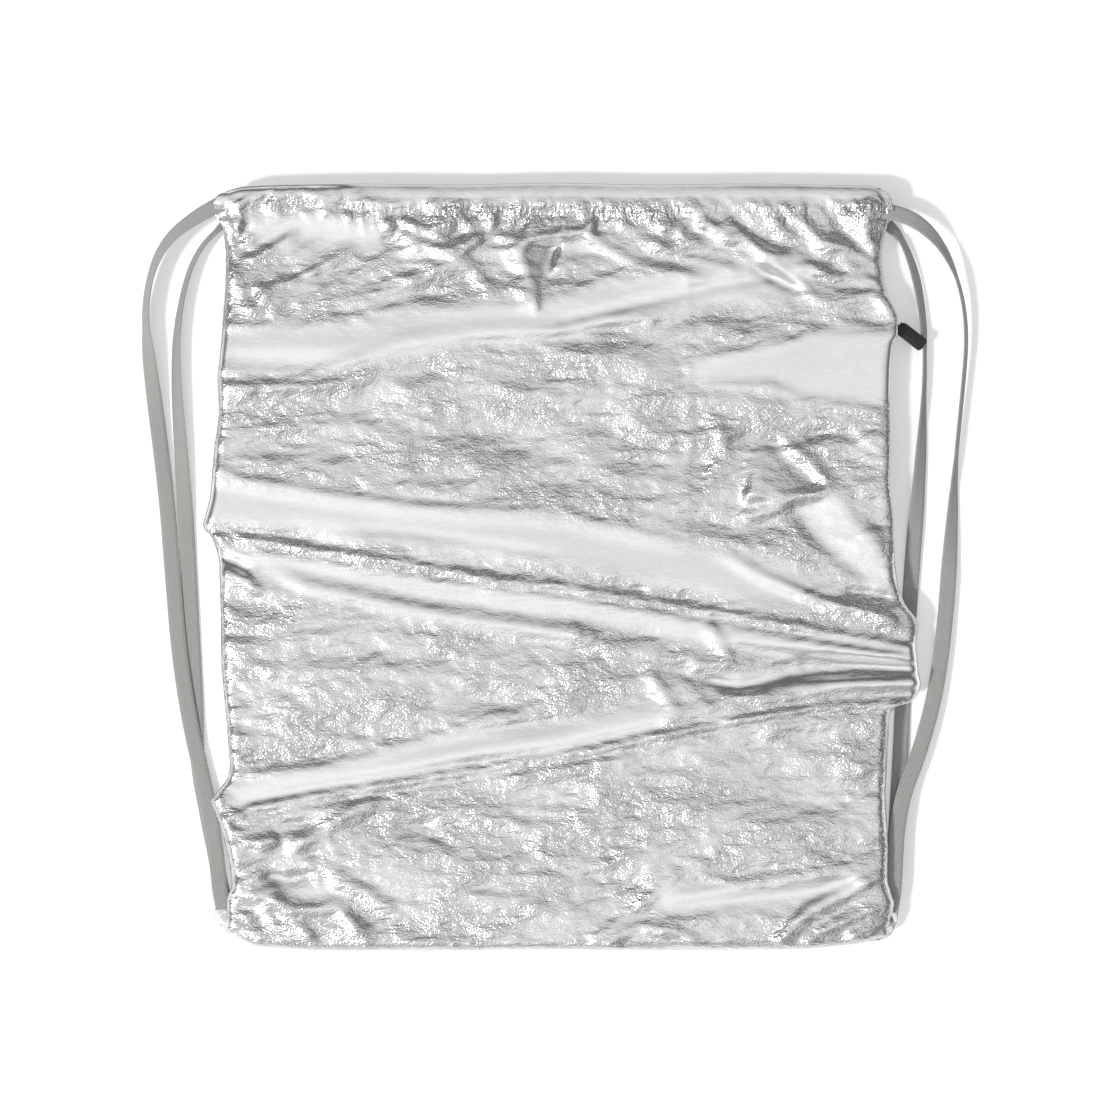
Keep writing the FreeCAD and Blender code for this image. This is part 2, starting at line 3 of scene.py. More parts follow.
import bpy
import numpy as np
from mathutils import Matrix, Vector


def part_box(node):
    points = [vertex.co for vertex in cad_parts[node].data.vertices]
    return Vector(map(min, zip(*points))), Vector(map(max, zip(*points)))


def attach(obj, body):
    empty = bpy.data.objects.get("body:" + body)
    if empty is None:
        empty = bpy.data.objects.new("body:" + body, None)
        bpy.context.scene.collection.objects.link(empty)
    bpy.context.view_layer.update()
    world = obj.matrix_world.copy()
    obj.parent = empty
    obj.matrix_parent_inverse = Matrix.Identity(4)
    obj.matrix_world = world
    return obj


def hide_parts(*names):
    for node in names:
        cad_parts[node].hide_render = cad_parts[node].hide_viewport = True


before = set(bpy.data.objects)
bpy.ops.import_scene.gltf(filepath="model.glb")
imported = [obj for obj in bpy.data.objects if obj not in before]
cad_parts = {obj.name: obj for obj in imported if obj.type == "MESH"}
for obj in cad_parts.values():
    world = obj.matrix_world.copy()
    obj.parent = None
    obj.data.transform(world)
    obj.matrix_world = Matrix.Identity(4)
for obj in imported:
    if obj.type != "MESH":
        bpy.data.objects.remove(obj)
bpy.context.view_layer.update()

MM = 0.001
# the bag's own measures are in mm, from its middle and up from the floor
panel_low, panel_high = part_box("front_panel")
BAG_FOOT, BAG_TOP = panel_low[1] / MM, panel_high[1] / MM
SEAM_Z = panel_low[2] / MM
STITCH_Y = 222.3


# ---------------------------------------------------------------- camera

def hang_camera():
    """A camera straight above the bag, with the bag's cords well inside its view."""
    data = bpy.data.cameras.new("overhead_camera")
    data.sensor_width = 36.0
    height, view_width = 2.2, 0.7034
    aim_x, aim_y, aim_z = 0.0028, 0.005, 0.015
    data.lens = 36.0 * height / view_width
    camera = bpy.data.objects.new("overhead_camera", data)
    bpy.context.collection.objects.link(camera)
    camera.location = (aim_x, aim_y, height + aim_z)
    bpy.context.scene.camera = camera


hang_camera()


# ---------------------------------------------------------------- finishes

class Wire:
    """One shader value, so that a finish can be written as plain arithmetic."""

    def __init__(self, finish, socket):
        self.finish, self.socket = finish, socket

    def _maths(self, operation, *values):
        return self.finish.node("ShaderNodeMath", {"operation": operation}, dict(enumerate(values)))

    def __add__(self, other):
        return self._maths("ADD", self, other)

    def __radd__(self, other):
        return self._maths("ADD", other, self)

    def __sub__(self, other):
        return self._maths("SUBTRACT", self, other)

    def __rsub__(self, other):
        return self._maths("SUBTRACT", other, self)

    def __mul__(self, other):
        return self._maths("MULTIPLY", self, other)

    def __rmul__(self, other):
        return self._maths("MULTIPLY", other, self)

    def sine(self):
        return self._maths("SINE", self)

    def most(self, other):
        return self._maths("MAXIMUM", self, other)

    def ramp(self, low, high):
        """0 below low and 1 above high, smooth between them."""
        return self.finish.node("ShaderNodeMapRange", {"interpolation_type": "SMOOTHSTEP"},
                                {"Value": self, "From Min": low, "From Max": high})

    def out(self, name):
        return Wire(self.finish, self.socket.node.outputs[name])


class Finish:
    """A node material, or the world's nodes, with one method that adds any node."""

    def __init__(self, name, owner=None):
        self.owner = owner or bpy.data.materials.new(name)
        self.owner.use_nodes = True
        self.tree = self.owner.node_tree
        self.tree.nodes.clear()

    def node(self, kind, settings=None, inputs=None, output=0):
        made = self.tree.nodes.new(kind)
        for key, value in (settings or {}).items():
            setattr(made, key, value)
        for key, value in (inputs or {}).items():
            if isinstance(value, Wire):
                self.tree.links.new(value.socket, made.inputs[key])
            else:
                made.inputs[key].default_value = value
        return Wire(self, made.outputs[output])

    def place(self, scale=(1.0, 1.0, 1.0), coordinates="Object"):
        """Coordinates in metres on the piece, stretched by scale."""
        where = self.node("ShaderNodeTexCoord").out(coordinates)
        if tuple(scale) == (1.0, 1.0, 1.0):
            return where
        return self.node("ShaderNodeVectorMath", {"operation": "MULTIPLY"}, {0: where, 1: scale})

    def split(self, vector):
        parts = self.node("ShaderNodeSeparateXYZ", None, {"Vector": vector})
        return parts.out("X"), parts.out("Y"), parts.out("Z")

    def noise(self, where, scale, detail=2.0, roughness=0.5):
        return self.node("ShaderNodeTexNoise", None, {"Vector": where, "Scale": scale, "Detail": detail,
                                                      "Roughness": roughness})

    def cells(self, where, scale):
        return self.node("ShaderNodeTexVoronoi", {"feature": "F1"}, {"Vector": where, "Scale": scale})

    def shade(self, amount, dark, light):
        """A colour between two others."""
        return self.node("ShaderNodeMix", {"data_type": "RGBA"},
                         {0: amount, 6: (*dark, 1.0), 7: (*light, 1.0)}, output=2)

    def relief(self, height, depth):
        return self.node("ShaderNodeBump", None, {"Height": height, "Distance": depth})

    def surface(self, **sockets):
        """Ends the material on one Principled shader, and gives the material back."""
        named = {key.replace("_", " "): value for key, value in sockets.items()}
        shader = self.node("ShaderNodeBsdfPrincipled", None, named)
        self.node_output(shader)
        return self.owner

    def node_output(self, shader, kind="ShaderNodeOutputMaterial"):
        end = self.tree.nodes.new(kind)
        self.tree.links.new(shader.socket, end.inputs["Surface"])


def foil_finish():
    """Silver film on thin cloth: taut where it is pulled, finely creased along the width elsewhere, with
    painted shade in the creased parts.
    """
    f = Finish("silver_foil")
    crinkle = f.node("ShaderNodeAttribute", {"attribute_name": "crinkle"}).out("Fac")
    along = f.place((0.30, 1.0, 1.0))
    broad = f.place((0.55, 1.0, 1.0))
    facets = f.cells(broad, 170.0).out("Distance")
    small = f.noise(f.place((0.55, 1.0, 1.0)), 560.0, 1.0, 0.5).out("Fac")
    fine = f.noise(f.place((0.7, 1.0, 1.0)), 1250.0, 0.0, 0.5).out("Fac")
    patches = f.noise(f.place((0.6, 1.0, 1.0)), 38.0, 2.0, 0.5).out("Fac").ramp(0.36, 0.64)
    busy = crinkle * (0.5 + 0.5 * patches)
    ruffle = f.node("ShaderNodeAttribute", {"attribute_name": "ruffle"}).out("Fac")
    gathers = f.noise(f.place((1.0, 0.50, 1.0)), 230.0, 2.0, 0.6).out("Fac").ramp(0.30, 0.70)
    creases = (facets * 0.34 + small * 0.29 + fine * 0.18) * (busy + 0.015)
    height = creases + gathers * ruffle * (0.19 + patches * 0.34)
    # a random tone, made darker where the foil crinkles: painted shade in the creases
    tone_and_painted_crease_shade = f.noise(along, 700.0, 2.0, 0.6).out("Fac") * 0.4 + 0.70 - busy * 0.55
    return f.surface(Base_Color=f.shade(tone_and_painted_crease_shade, (0.47, 0.475, 0.48), (0.92, 0.925, 0.925)), Metallic=1.0,
                     Roughness=0.17 + busy * 0.08, Normal=f.relief(height, 0.0016))


def tape_finish():
    """Flat woven polyester cord: fine pick rows across it, in two greys."""
    f = Finish("cord_weave")
    run, across, _ = f.split(f.place(coordinates="UV"))
    picks = (run * (2 * math.pi / 0.0011)).sine()
    ends = (across * (2 * math.pi / 0.0012)).sine()
    twill = ((run * 0.9 + across) * (2 * math.pi / 0.0024)).sine()
    weave = picks * ends * 0.5 + 0.5
    lay = weave * 0.7 + twill * 0.15 + 0.15
    dust = f.noise(f.place(), 900.0, 2.0, 0.6).out("Fac")
    colour = f.shade(lay * 0.7 + dust * 0.3, (0.25, 0.246, 0.238), (0.56, 0.555, 0.54))
    return f.surface(Base_Color=colour, Roughness=0.78, Normal=f.relief(lay, 0.0004),
                     Sheen_Weight=0.15, Sheen_Roughness=0.5)


def woven_finish(name, dark, light, pitch, roughness=0.8):
    """Plain woven tape or lining, from its place on the piece."""
    f = Finish(name)
    x, y, z = f.split(f.place())
    turn = 2 * math.pi / pitch
    weave = ((x + z * 0.7) * turn).sine() * ((y + z * 0.7) * turn).sine() * 0.5 + 0.5
    worn = f.noise(f.place(), 260.0, 3.0, 0.55).out("Fac")
    return f.surface(Base_Color=f.shade(weave * 0.6 + worn * 0.4, dark, light), Roughness=roughness,
                     Normal=f.relief(weave, 0.0003), Sheen_Weight=0.1)


def thread_finish():
    f = Finish("pale_thread")
    x, y, z = f.split(f.place())
    twist = ((x + y + z) * (2 * math.pi / 0.0006)).sine() * 0.5 + 0.5
    return f.surface(Base_Color=f.shade(twist, (0.52, 0.52, 0.52), (0.72, 0.72, 0.72)), Roughness=0.55,
                     Normal=f.relief(twist, 0.0002))


def moulded_finish(name, dark, light, grain, roughness, specular=0.5):
    """Moulded black plastic or soft rubber with a fine grain."""
    f = Finish(name)
    grit = f.noise(f.place(), grain, 3.0, 0.6).out("Fac")
    wear = f.noise(f.place(), grain * 0.12, 2.0, 0.5).out("Fac")
    return f.surface(Base_Color=f.shade(wear, dark, light), Roughness=roughness + grit * 0.12,
                     Normal=f.relief(grit, 0.00012), Specular_IOR_Level=specular)


def metal_finish():
    f = Finish("black_paint_on_metal")
    speckle = f.noise(f.place(), 2600.0, 2.0, 0.5).out("Fac")
    wear = f.noise(f.place(), 420.0, 3.0, 0.6).out("Fac").ramp(0.62, 0.78)
    return f.surface(Base_Color=f.shade(wear, (0.032, 0.032, 0.034), (0.12, 0.12, 0.12)), Metallic=0.6,
                     Roughness=0.34 + speckle * 0.1, Normal=f.relief(speckle, 0.00005))


foil = foil_finish()
cord_weave = tape_finish()
binding = woven_finish("grey_binding", (0.33, 0.33, 0.33), (0.52, 0.52, 0.52), 0.0010)
lining = woven_finish("grey_lining", (0.42, 0.42, 0.425), (0.58, 0.58, 0.58), 0.0007, 0.7)
zip_cloth = woven_finish("black_zip_tape", (0.028, 0.028, 0.03), (0.075, 0.075, 0.08), 0.0006)
thread = thread_finish()
coil_nylon = moulded_finish("black_nylon", (0.022, 0.022, 0.024), (0.05, 0.05, 0.052), 1500.0, 0.36)
soft_rubber = moulded_finish("black_rubber", (0.012, 0.012, 0.013), (0.022, 0.022, 0.023), 1900.0, 0.42, 0.4)
painted_metal = metal_finish()


# ---------------------------------------------------------------- floor and light

def lay_floor():
    bpy.ops.object.select_all(action="DESELECT")
    bpy.ops.mesh.primitive_plane_add(size=14.0, location=(0.0, 0.0, 0.0))
    floor = bpy.context.active_object
    floor.name = "white_floor"
    f = Finish("white_paper")
    seen = f.node("ShaderNodeLightPath")
    shown = seen.out("Is Camera Ray").most(seen.out("Is Glossy Ray")).most(seen.out("Is Transmission Ray"))
    paper = f.node("ShaderNodeBsdfDiffuse", None, {"Color": (0.80, 0.80, 0.80, 1.0)})
    glow = f.node("ShaderNodeEmission", None, {"Color": (1.0, 1.0, 1.0, 1.0), "Strength": shown * 0.33})
    f.node_output(f.node("ShaderNodeAddShader", None, {0: paper, 1: glow}))
    floor.data.materials.append(f.owner)


def light_table():
    """One lamp from the low left, and a soft sky: bright overhead, round its rim and to the low left."""
    data = bpy.data.lights.new("key_lamp", "SUN")
    data.energy, data.angle = 1.9, math.radians(6.0)
    lamp = bpy.data.objects.new("key_lamp", data)
    bpy.context.collection.objects.link(lamp)
    towards = Vector((0.58, 0.36, -0.87))
    lamp.rotation_mode = "QUATERNION"
    lamp.rotation_quaternion = towards.to_track_quat("-Z", "Y")
    world = bpy.data.worlds.new("studio_sky")
    bpy.context.scene.world = world
    f = Finish("sky", world)
    x, y, up = f.split(f.place(coordinates="Generated"))
    top = up.ramp(0.58, 0.99)
    rim = 1.0 - up.ramp(0.12, 0.50)
    low_left = x * -0.55 + y * -0.83
    side = low_left.ramp(-0.45, 0.55)
    glow = (0.17 + top * 0.70) * (0.82 + side * 0.46) + low_left.ramp(0.34, 0.85) * 0.36 + rim * 0.45
    f.node_output(f.node("ShaderNodeBackground", None, {"Color": (1.0, 1.0, 1.0, 1.0), "Strength": glow}),
                  "ShaderNodeOutputWorld")


lay_floor()
light_table()
bpy.context.scene.view_settings.view_transform = "Standard"


# ---------------------------------------------------------------- drawcords

# each strand leaves its hem, swings round outside the bag and goes into the corner tab
LEFT_FRONT = [(-.160, .2344, .0224), (-.182, .2344, .0224), (-.204, .231, .0224), (-.224, .2205, .0216),
              (-.242, .208, .018), (-.2535, .190, .0135), (-.2590, .161, .0100), (-.2560, .130, .0075),
              (-.2510, .090, .0042), (-.2455, .044, .0028), (-.2415, -.008, .0028), (-.2375, -.056, .0030),
              (-.2305, -.100, .0040), (-.2215, -.137, .0050), (-.2160, -.166, .0070),
              (-.2125, -.189, .0100), (-.2105, -.208, .0130), (-.2060, -.224, .0130)]
LEFT_BACK = [(-.160, .2344, .0016), (-.182, .2344, .0016), (-.198, .2265, .0022), (-.2125, .2140, .0057),
             (-.2250, .2010, .0064), (-.2335, .181, .0064), (-.2395, .148, .0062), (-.2392, .112, .0050),
             (-.2358, .066, .0035), (-.2325, .014, .0016), (-.2300, -.038, .0015), (-.2275, -.084, .0015),
             (-.2265, -.124, .0030), (-.2200, -.158, .0040), (-.2140, -.184, .0055), (-.2100, -.205, .0100),
             (-.2050, -.222, .0108)]
RIGHT_FRONT = [(.176, .2276, .0206), (.1880, .2258, .0206), (.200, .2236, .0206), (.2095, .2236, .0206),
               (.2275, .2175, .0198), (.2440, .2010, .0170), (.2550, .1760, .0135), (.2592, .147, .0105),
               (.2566, .112, .0085), (.2522, .068, .0066), (.2495, .020, .0052), (.2462, -.030, .0060),
               (.2402, -.076, .0080), (.2295, -.115, .0110), (.2182, -.143, .0125), (.2142, -.168, .0130),
               (.2132, -.191, .0135), (.2120, -.209, .0140), (.2080, -.226, .0134)]
RIGHT_BACK = [(.176, .2276, .0034), (.1880, .2258, .0034), (.202, .2222, .0040), (.2165, .2110, .0060),
              (.2248, .193, .0066), (.2305, .169, .0066), (.2332, .138, .0064), (.2320, .098, .0060),
              (.2292, .052, .0048), (.2255, .008, .0030), (.2230, -.034, .0020), (.2198, -.075, .0016),
              (.2182, -.112, .0024), (.2160, -.147, .0026), (.2140, -.180, .0050), (.2120, -.205, .0100),
              (.2070, -.224, .0108)]
# inside the hem each cord crosses the front, turns at the far side and comes back behind
LEFT_RUN = [(-.160, .2344, .0224), (0, .2344, .0224), (.150, .2344, .0224), (.190, .2338, .0224),
            (.1995, .2336, .0222), (.2008, .2336, .0190), (.2008, .2336, .0120), (.2008, .2336, .0050),
            (.1995, .2336, .0018), (.190, .2338, .0016), (.150, .2344, .0016), (0, .2344, .0016),
            (-.160, .2344, .0016)]
RIGHT_RUN = [(.176, .2276, .0206), (0, .2276, .0206), (-.180, .2276, .0206), (-.1990, .2276, .0204),
             (-.2003, .2276, .0175), (-.2003, .2276, .0120), (-.2003, .2276, .0065), (-.1990, .2276, .0036),
             (-.180, .2276, .0034), (0, .2276, .0034), (.176, .2276, .0034)]
CORD_WIDTH, CORD_THICK = 0.010, 0.0012


def cord_line(name, route):
    """The smooth line of a strand: a spline through its route, read back as points."""
    curve = bpy.data.curves.new(name + "_line", "CURVE")
    curve.dimensions, curve.resolution_u = "3D", 20
    spline = curve.splines.new("NURBS")
    spline.points.add(len(route) - 1)
    for point, place in zip(spline.points, route):
        point.co = (*place, 1.0)
    spline.order_u = 3
    spline.use_endpoint_u = True
    holder = bpy.data.objects.new(name + "_line", curve)
    line = bpy.data.meshes.new_from_object(holder)
    points = [tuple(v.co) for v in line.vertices]
    bpy.data.objects.remove(holder)
    bpy.data.meshes.remove(line)
    bpy.data.curves.remove(curve)
    return points


def weave_cord(name, node, route, leans=None):
    """A flat woven tape along a route. leans gives, at heights up the bag in mm, how far the tape
    tips from flat in degrees, positive with its left edge up as it runs down the bag; without leans
    the tape's width stays along the bag's height."""
    line = np.array(cord_line(name, route))
    tangent = np.gradient(line, axis=0)
    tangent /= np.linalg.norm(tangent, axis=1)[:, None]
    flat = np.cross(tangent, (0.0, 0.0, 1.0)) if leans else np.tile((0.0, 1.0, 0.0), (len(line), 1))
    flat /= np.linalg.norm(flat, axis=1)[:, None]
    lift = np.cross(flat, tangent)
    ys, angles = zip(*sorted(leans or [(-240, 0), (240, 0)]))
    lean = np.radians(np.interp(line[:, 1] / MM, ys, angles))[:, None]
    wide = flat * np.cos(lean) - lift * np.sin(lean)
    thick = np.cross(wide, tangent)
    half, deep, edge = CORD_WIDTH / 2, CORD_THICK / 2, 0.0005
    section = [(-half, 0.0), (-half + edge, deep), (-half / 2, deep * 1.05), (0.0, deep),
               (half / 2, deep * 1.05), (half - edge, deep), (half, 0.0), (half - edge, -deep),
               (half / 2, -deep * 1.05), (0.0, -deep), (-half / 2, -deep * 1.05), (-half + edge, -deep)]
    n = len(section)
    points = [line[i] + wide[i] * a + thick[i] * b for i in range(len(line)) for a, b in section]
    faces, uvs = [], []
    run = np.concatenate([[0.0], np.cumsum(np.linalg.norm(np.diff(line, axis=0), axis=1))])
    for i in range(len(line) - 1):
        for k in range(n):
            m = (k + 1) % n
            faces.append((i * n + k, i * n + m, (i + 1) * n + m, (i + 1) * n + k))
            a, b = section[k][0], section[m][0]
            uvs += [(run[i], a), (run[i], b), (run[i + 1], b), (run[i + 1], a)]
    faces.append(tuple(range(n - 1, -1, -1)))
    faces.append(tuple((len(line) - 1) * n + k for k in range(n)))
    uvs += [(0.0, section[k][0]) for k in range(n - 1, -1, -1)] + [(run[-1], s[0]) for s in section]
    mesh = bpy.data.meshes.new(name)
    mesh.from_pydata([tuple(p) for p in points], [], faces)
    layer = mesh.uv_layers.new(name="weave")
    layer.data.foreach_set("uv", np.array(uvs, dtype=np.float32).ravel())
    mesh.materials.append(cord_weave)
    mesh.update()
    strand = bpy.data.objects.new(name, mesh)
    bpy.context.collection.objects.link(strand)
    facing_out(strand)
    smooth(strand, 50)
    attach(strand, "bag")
    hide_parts(node)
    return strand


def only(piece):
    bpy.ops.object.select_all(action="DESELECT")
    bpy.context.view_layer.objects.active = piece
    piece.select_set(True)


def facing_out(piece):
    only(piece)
    bpy.ops.object.mode_set(mode="EDIT")
    bpy.ops.mesh.select_all(action="SELECT")
    bpy.ops.mesh.normals_make_consistent(inside=False)
    bpy.ops.object.mode_set(mode="OBJECT")


def smooth(piece, angle=40):
    only(piece)
    bpy.ops.object.shade_smooth_by_angle(angle=math.radians(angle))


weave_cord("left_outer_cord", "left_cord_front_strand", LEFT_FRONT,
           [(235, 0), (222, 15), (212, 35), (200, 50), (184, 62), (150, 60), (133, 28), (110, 12), (90, 0),
            (-240, 0)])
weave_cord("left_inner_cord", "left_cord_back_strand", LEFT_BACK,
           [(235, 0), (224, 30), (212, 70), (196, 70), (165, 68), (123, 51), (85, 30), (51, 15), (30, 0),
            (-95, 0), (-120, 20), (-150, 25), (-190, 10), (-205, 0), (-240, 0)])
weave_cord("right_outer_cord", "right_cord_front_strand", RIGHT_FRONT,
           [(235, 0), (220, -8), (203, -50), (183, -74), (90, -74), (70, -74), (51, -60), (30, -38),
            (10, -18), (-5, 0), (-240, 0)])
weave_cord("right_inner_cord", "right_cord_back_strand", RIGHT_BACK,
           [(235, 0), (220, -20), (206, -62), (182, -54), (150, -64), (136, -76), (110, -72), (94, -62),
            (72, -43), (51, -29), (25, -5), (0, 0), (-240, 0)])

weave_cord("left_hem_cord", "left_cord_channel_run", LEFT_RUN)
weave_cord("right_hem_cord", "right_cord_channel_run", RIGHT_RUN)


# ---------------------------------------------------------------- foil panels

# by whether the panel is the front: columns and rows inside the walls, and the highest a fold may stand
GRIDS = {True: (124, 152), False: (78, 94)}
HIGHEST = {True: 29.0, False: 9.0}
WALL = [-60.0, -30.0, 0.0, 30.0, 60.0]
SIDE_RADIUS = 6.0
LEFT_EDGE = [(-240, -207), (-216, -206.5), (-206, -203), (-188, -205.5), (-176, -209.5), (-166, -214),
             (-161, -217), (-156, -214), (-140, -206), (-131, -204.5), (-102, -207), (-70, -210),
             (-32, -210.5), (-1, -211.5), (12, -216), (21, -222), (28, -220), (38, -217), (51, -216),
             (70, -214.5), (92, -211.5), (116, -212.5), (143, -210), (176, -207.5), (196, -207),
             (214, -209), (221, -213.5), (230, -214), (235, -210), (240, -201)]
RIGHT_EDGE = [(-240, 208), (-230, 210), (-220, 213), (-203, 208.5), (-181, 209), (-150, 207), (-114, 209),
              (-95, 210), (-90, 224), (-86, 227.5), (-79, 229.5), (-70, 228), (-60, 227), (-53, 226),
              (-43, 228), (-36, 227.5), (-28, 221), (-18, 215.5), (-4, 213.5), (12, 212.5), (30, 212),
              (51, 209.5), (72, 210.5), (103, 209.8), (126, 210.5), (140, 212), (146, 215.2), (160, 214.6),
              (166, 210), (175, 207), (192, 204.5), (206, 207), (214, 208), (219, 212), (226, 212.5),
              (232, 209.5), (240, 203)]
FOOT_EDGE = [(-210, -222), (-205, -226), (-196, -234), (-188, -237.5), (-172, -239), (-150, -240),
             (-90, -240.5), (0, -239.5), (60, -240), (120, -240), (160, -239), (190, -236), (204, -232),
             (212, -227)]
HEAD_EDGE = [(-214, 230), (-210, 234.5), (-200.8, 236.8), (-196, 238.2), (-172, 239.2), (-120, 240),
             (-60, 239.2), (-30, 240), (0, 240.5), (60, 239.3), (110, 240), (150, 239.8), (178, 239),
             (194, 238.8), (200, 238.4), (204, 236.4), (209, 232), (213, 226)]


def curve_at(stations, at):
    places, values = zip(*stations)
    return np.interp(at, places, values)


class Creases:
    """Folds laid on a height map of the cloth, all in mm."""

    def __init__(self, x, y):
        self.x, self.y = x, y
        self.height = np.zeros_like(x)
        self.taut = np.zeros_like(x)

    def _near(self, line):
        """Each point's distance to a line, its side of it and how far along it is."""
        best = np.full(self.x.shape, 1e9)
        side = np.zeros_like(best)
        run = np.zeros_like(best)
        lengths = [math.dist(a[:2], b[:2]) for a, b in zip(line, line[1:])]
        total, done = sum(lengths), 0.0
        for (a, b), length in zip(zip(line, line[1:]), lengths):
            dx, dy = (b[0] - a[0]) / length, (b[1] - a[1]) / length
            px, py = self.x - a[0], self.y - a[1]
            t = np.clip(px * dx + py * dy, 0.0, length)
            qx, qy = px - dx * t, py - dy * t
            d = np.hypot(qx, qy)
            closer = d < best
            best = np.where(closer, d, best)
            side = np.where(closer, dx * py - dy * px, side)
            run = np.where(closer, (done + t) / total, run)
            done += length
        return best, side, run

    def fold(self, line, rise, above, below, sharp=1.0, ends=(0.12, 0.12), wander=None):
        """Lifts the cloth along a line, with its flanks this wide above and below it."""
        d, side, run = self._near(line)
        if isinstance(rise, (tuple, list)):
            rise = np.interp(run, np.linspace(0, 1, len(rise)), rise)
        width = np.where(side > 0, above, below)
        shape = np.clip(1.0 - d / width, 0.0, 1.0)
        soft = shape * shape * (3 - 2 * shape)
        shape = sharp * shape ** 1.15 + (1 - sharp) * soft
        for end, near in zip(ends, (run, 1 - run)):
            if end > 0:
                shape = shape * np.clip(near / end, 0.0, 1.0) ** 0.8
        self.height += rise * shape

    def pull(self, line, above, below, amount=1.0):
        """The cloth is taut beside this line, so it doesn't crinkle there."""
        d, side, _ = self._near(line)
        width = np.where(side > 0, above, below)
        self.taut = np.maximum(self.taut, amount * np.clip(1.35 - d / width, 0.0, 1.0) ** 0.7)

    def flat_patch(self, corners, amount=1.0, tilt=(0.0, 0.0), lift=0.0, soft=6.0):
        """A taut patch between corners, tipped and lifted a little."""
        near = np.full(self.x.shape, 1e9)
        crossings = np.zeros(self.x.shape, int)
        for (ax, ay), (bx, by) in zip(corners, corners[1:] + corners[:1]):
            length = math.hypot(bx - ax, by - ay)
            dx, dy = (bx - ax) / length, (by - ay) / length
            t = np.clip((self.x - ax) * dx + (self.y - ay) * dy, 0, length)
            near = np.minimum(near, np.hypot(self.x - ax - dx * t, self.y - ay - dy * t))
            if by != ay:
                level = (ay > self.y) != (by > self.y)
                crossings += level & (self.x < (bx - ax) * (self.y - ay) / (by - ay) + ax)
        inside = crossings % 2 == 1
        blend = np.clip(np.where(inside, near, -near) / soft + 0.5, 0, 1)
        blend = blend * blend * (3 - 2 * blend)
        cx, cy = (sum(c[k] for c in corners) / len(corners) for k in (0, 1))
        self.taut = np.maximum(self.taut, blend * amount)
        self.height += blend * (lift + (self.x - cx) * tilt[0] + (self.y - cy) * tilt[1])


def rumple(shape, seed, across, along):
    """Smooth random relief of unit size; across and along are its grain in grid steps."""
    field = np.fft.rfft2(np.random.default_rng(seed).normal(size=shape))
    fy = np.fft.fftfreq(shape[0])[:, None]
    fx = np.fft.rfftfreq(shape[1])[None, :]
    field *= np.exp(-2 * math.pi ** 2 * ((fy * along) ** 2 + (fx * across) ** 2))
    field = np.fft.irfft2(field, shape)
    return field / field.std()


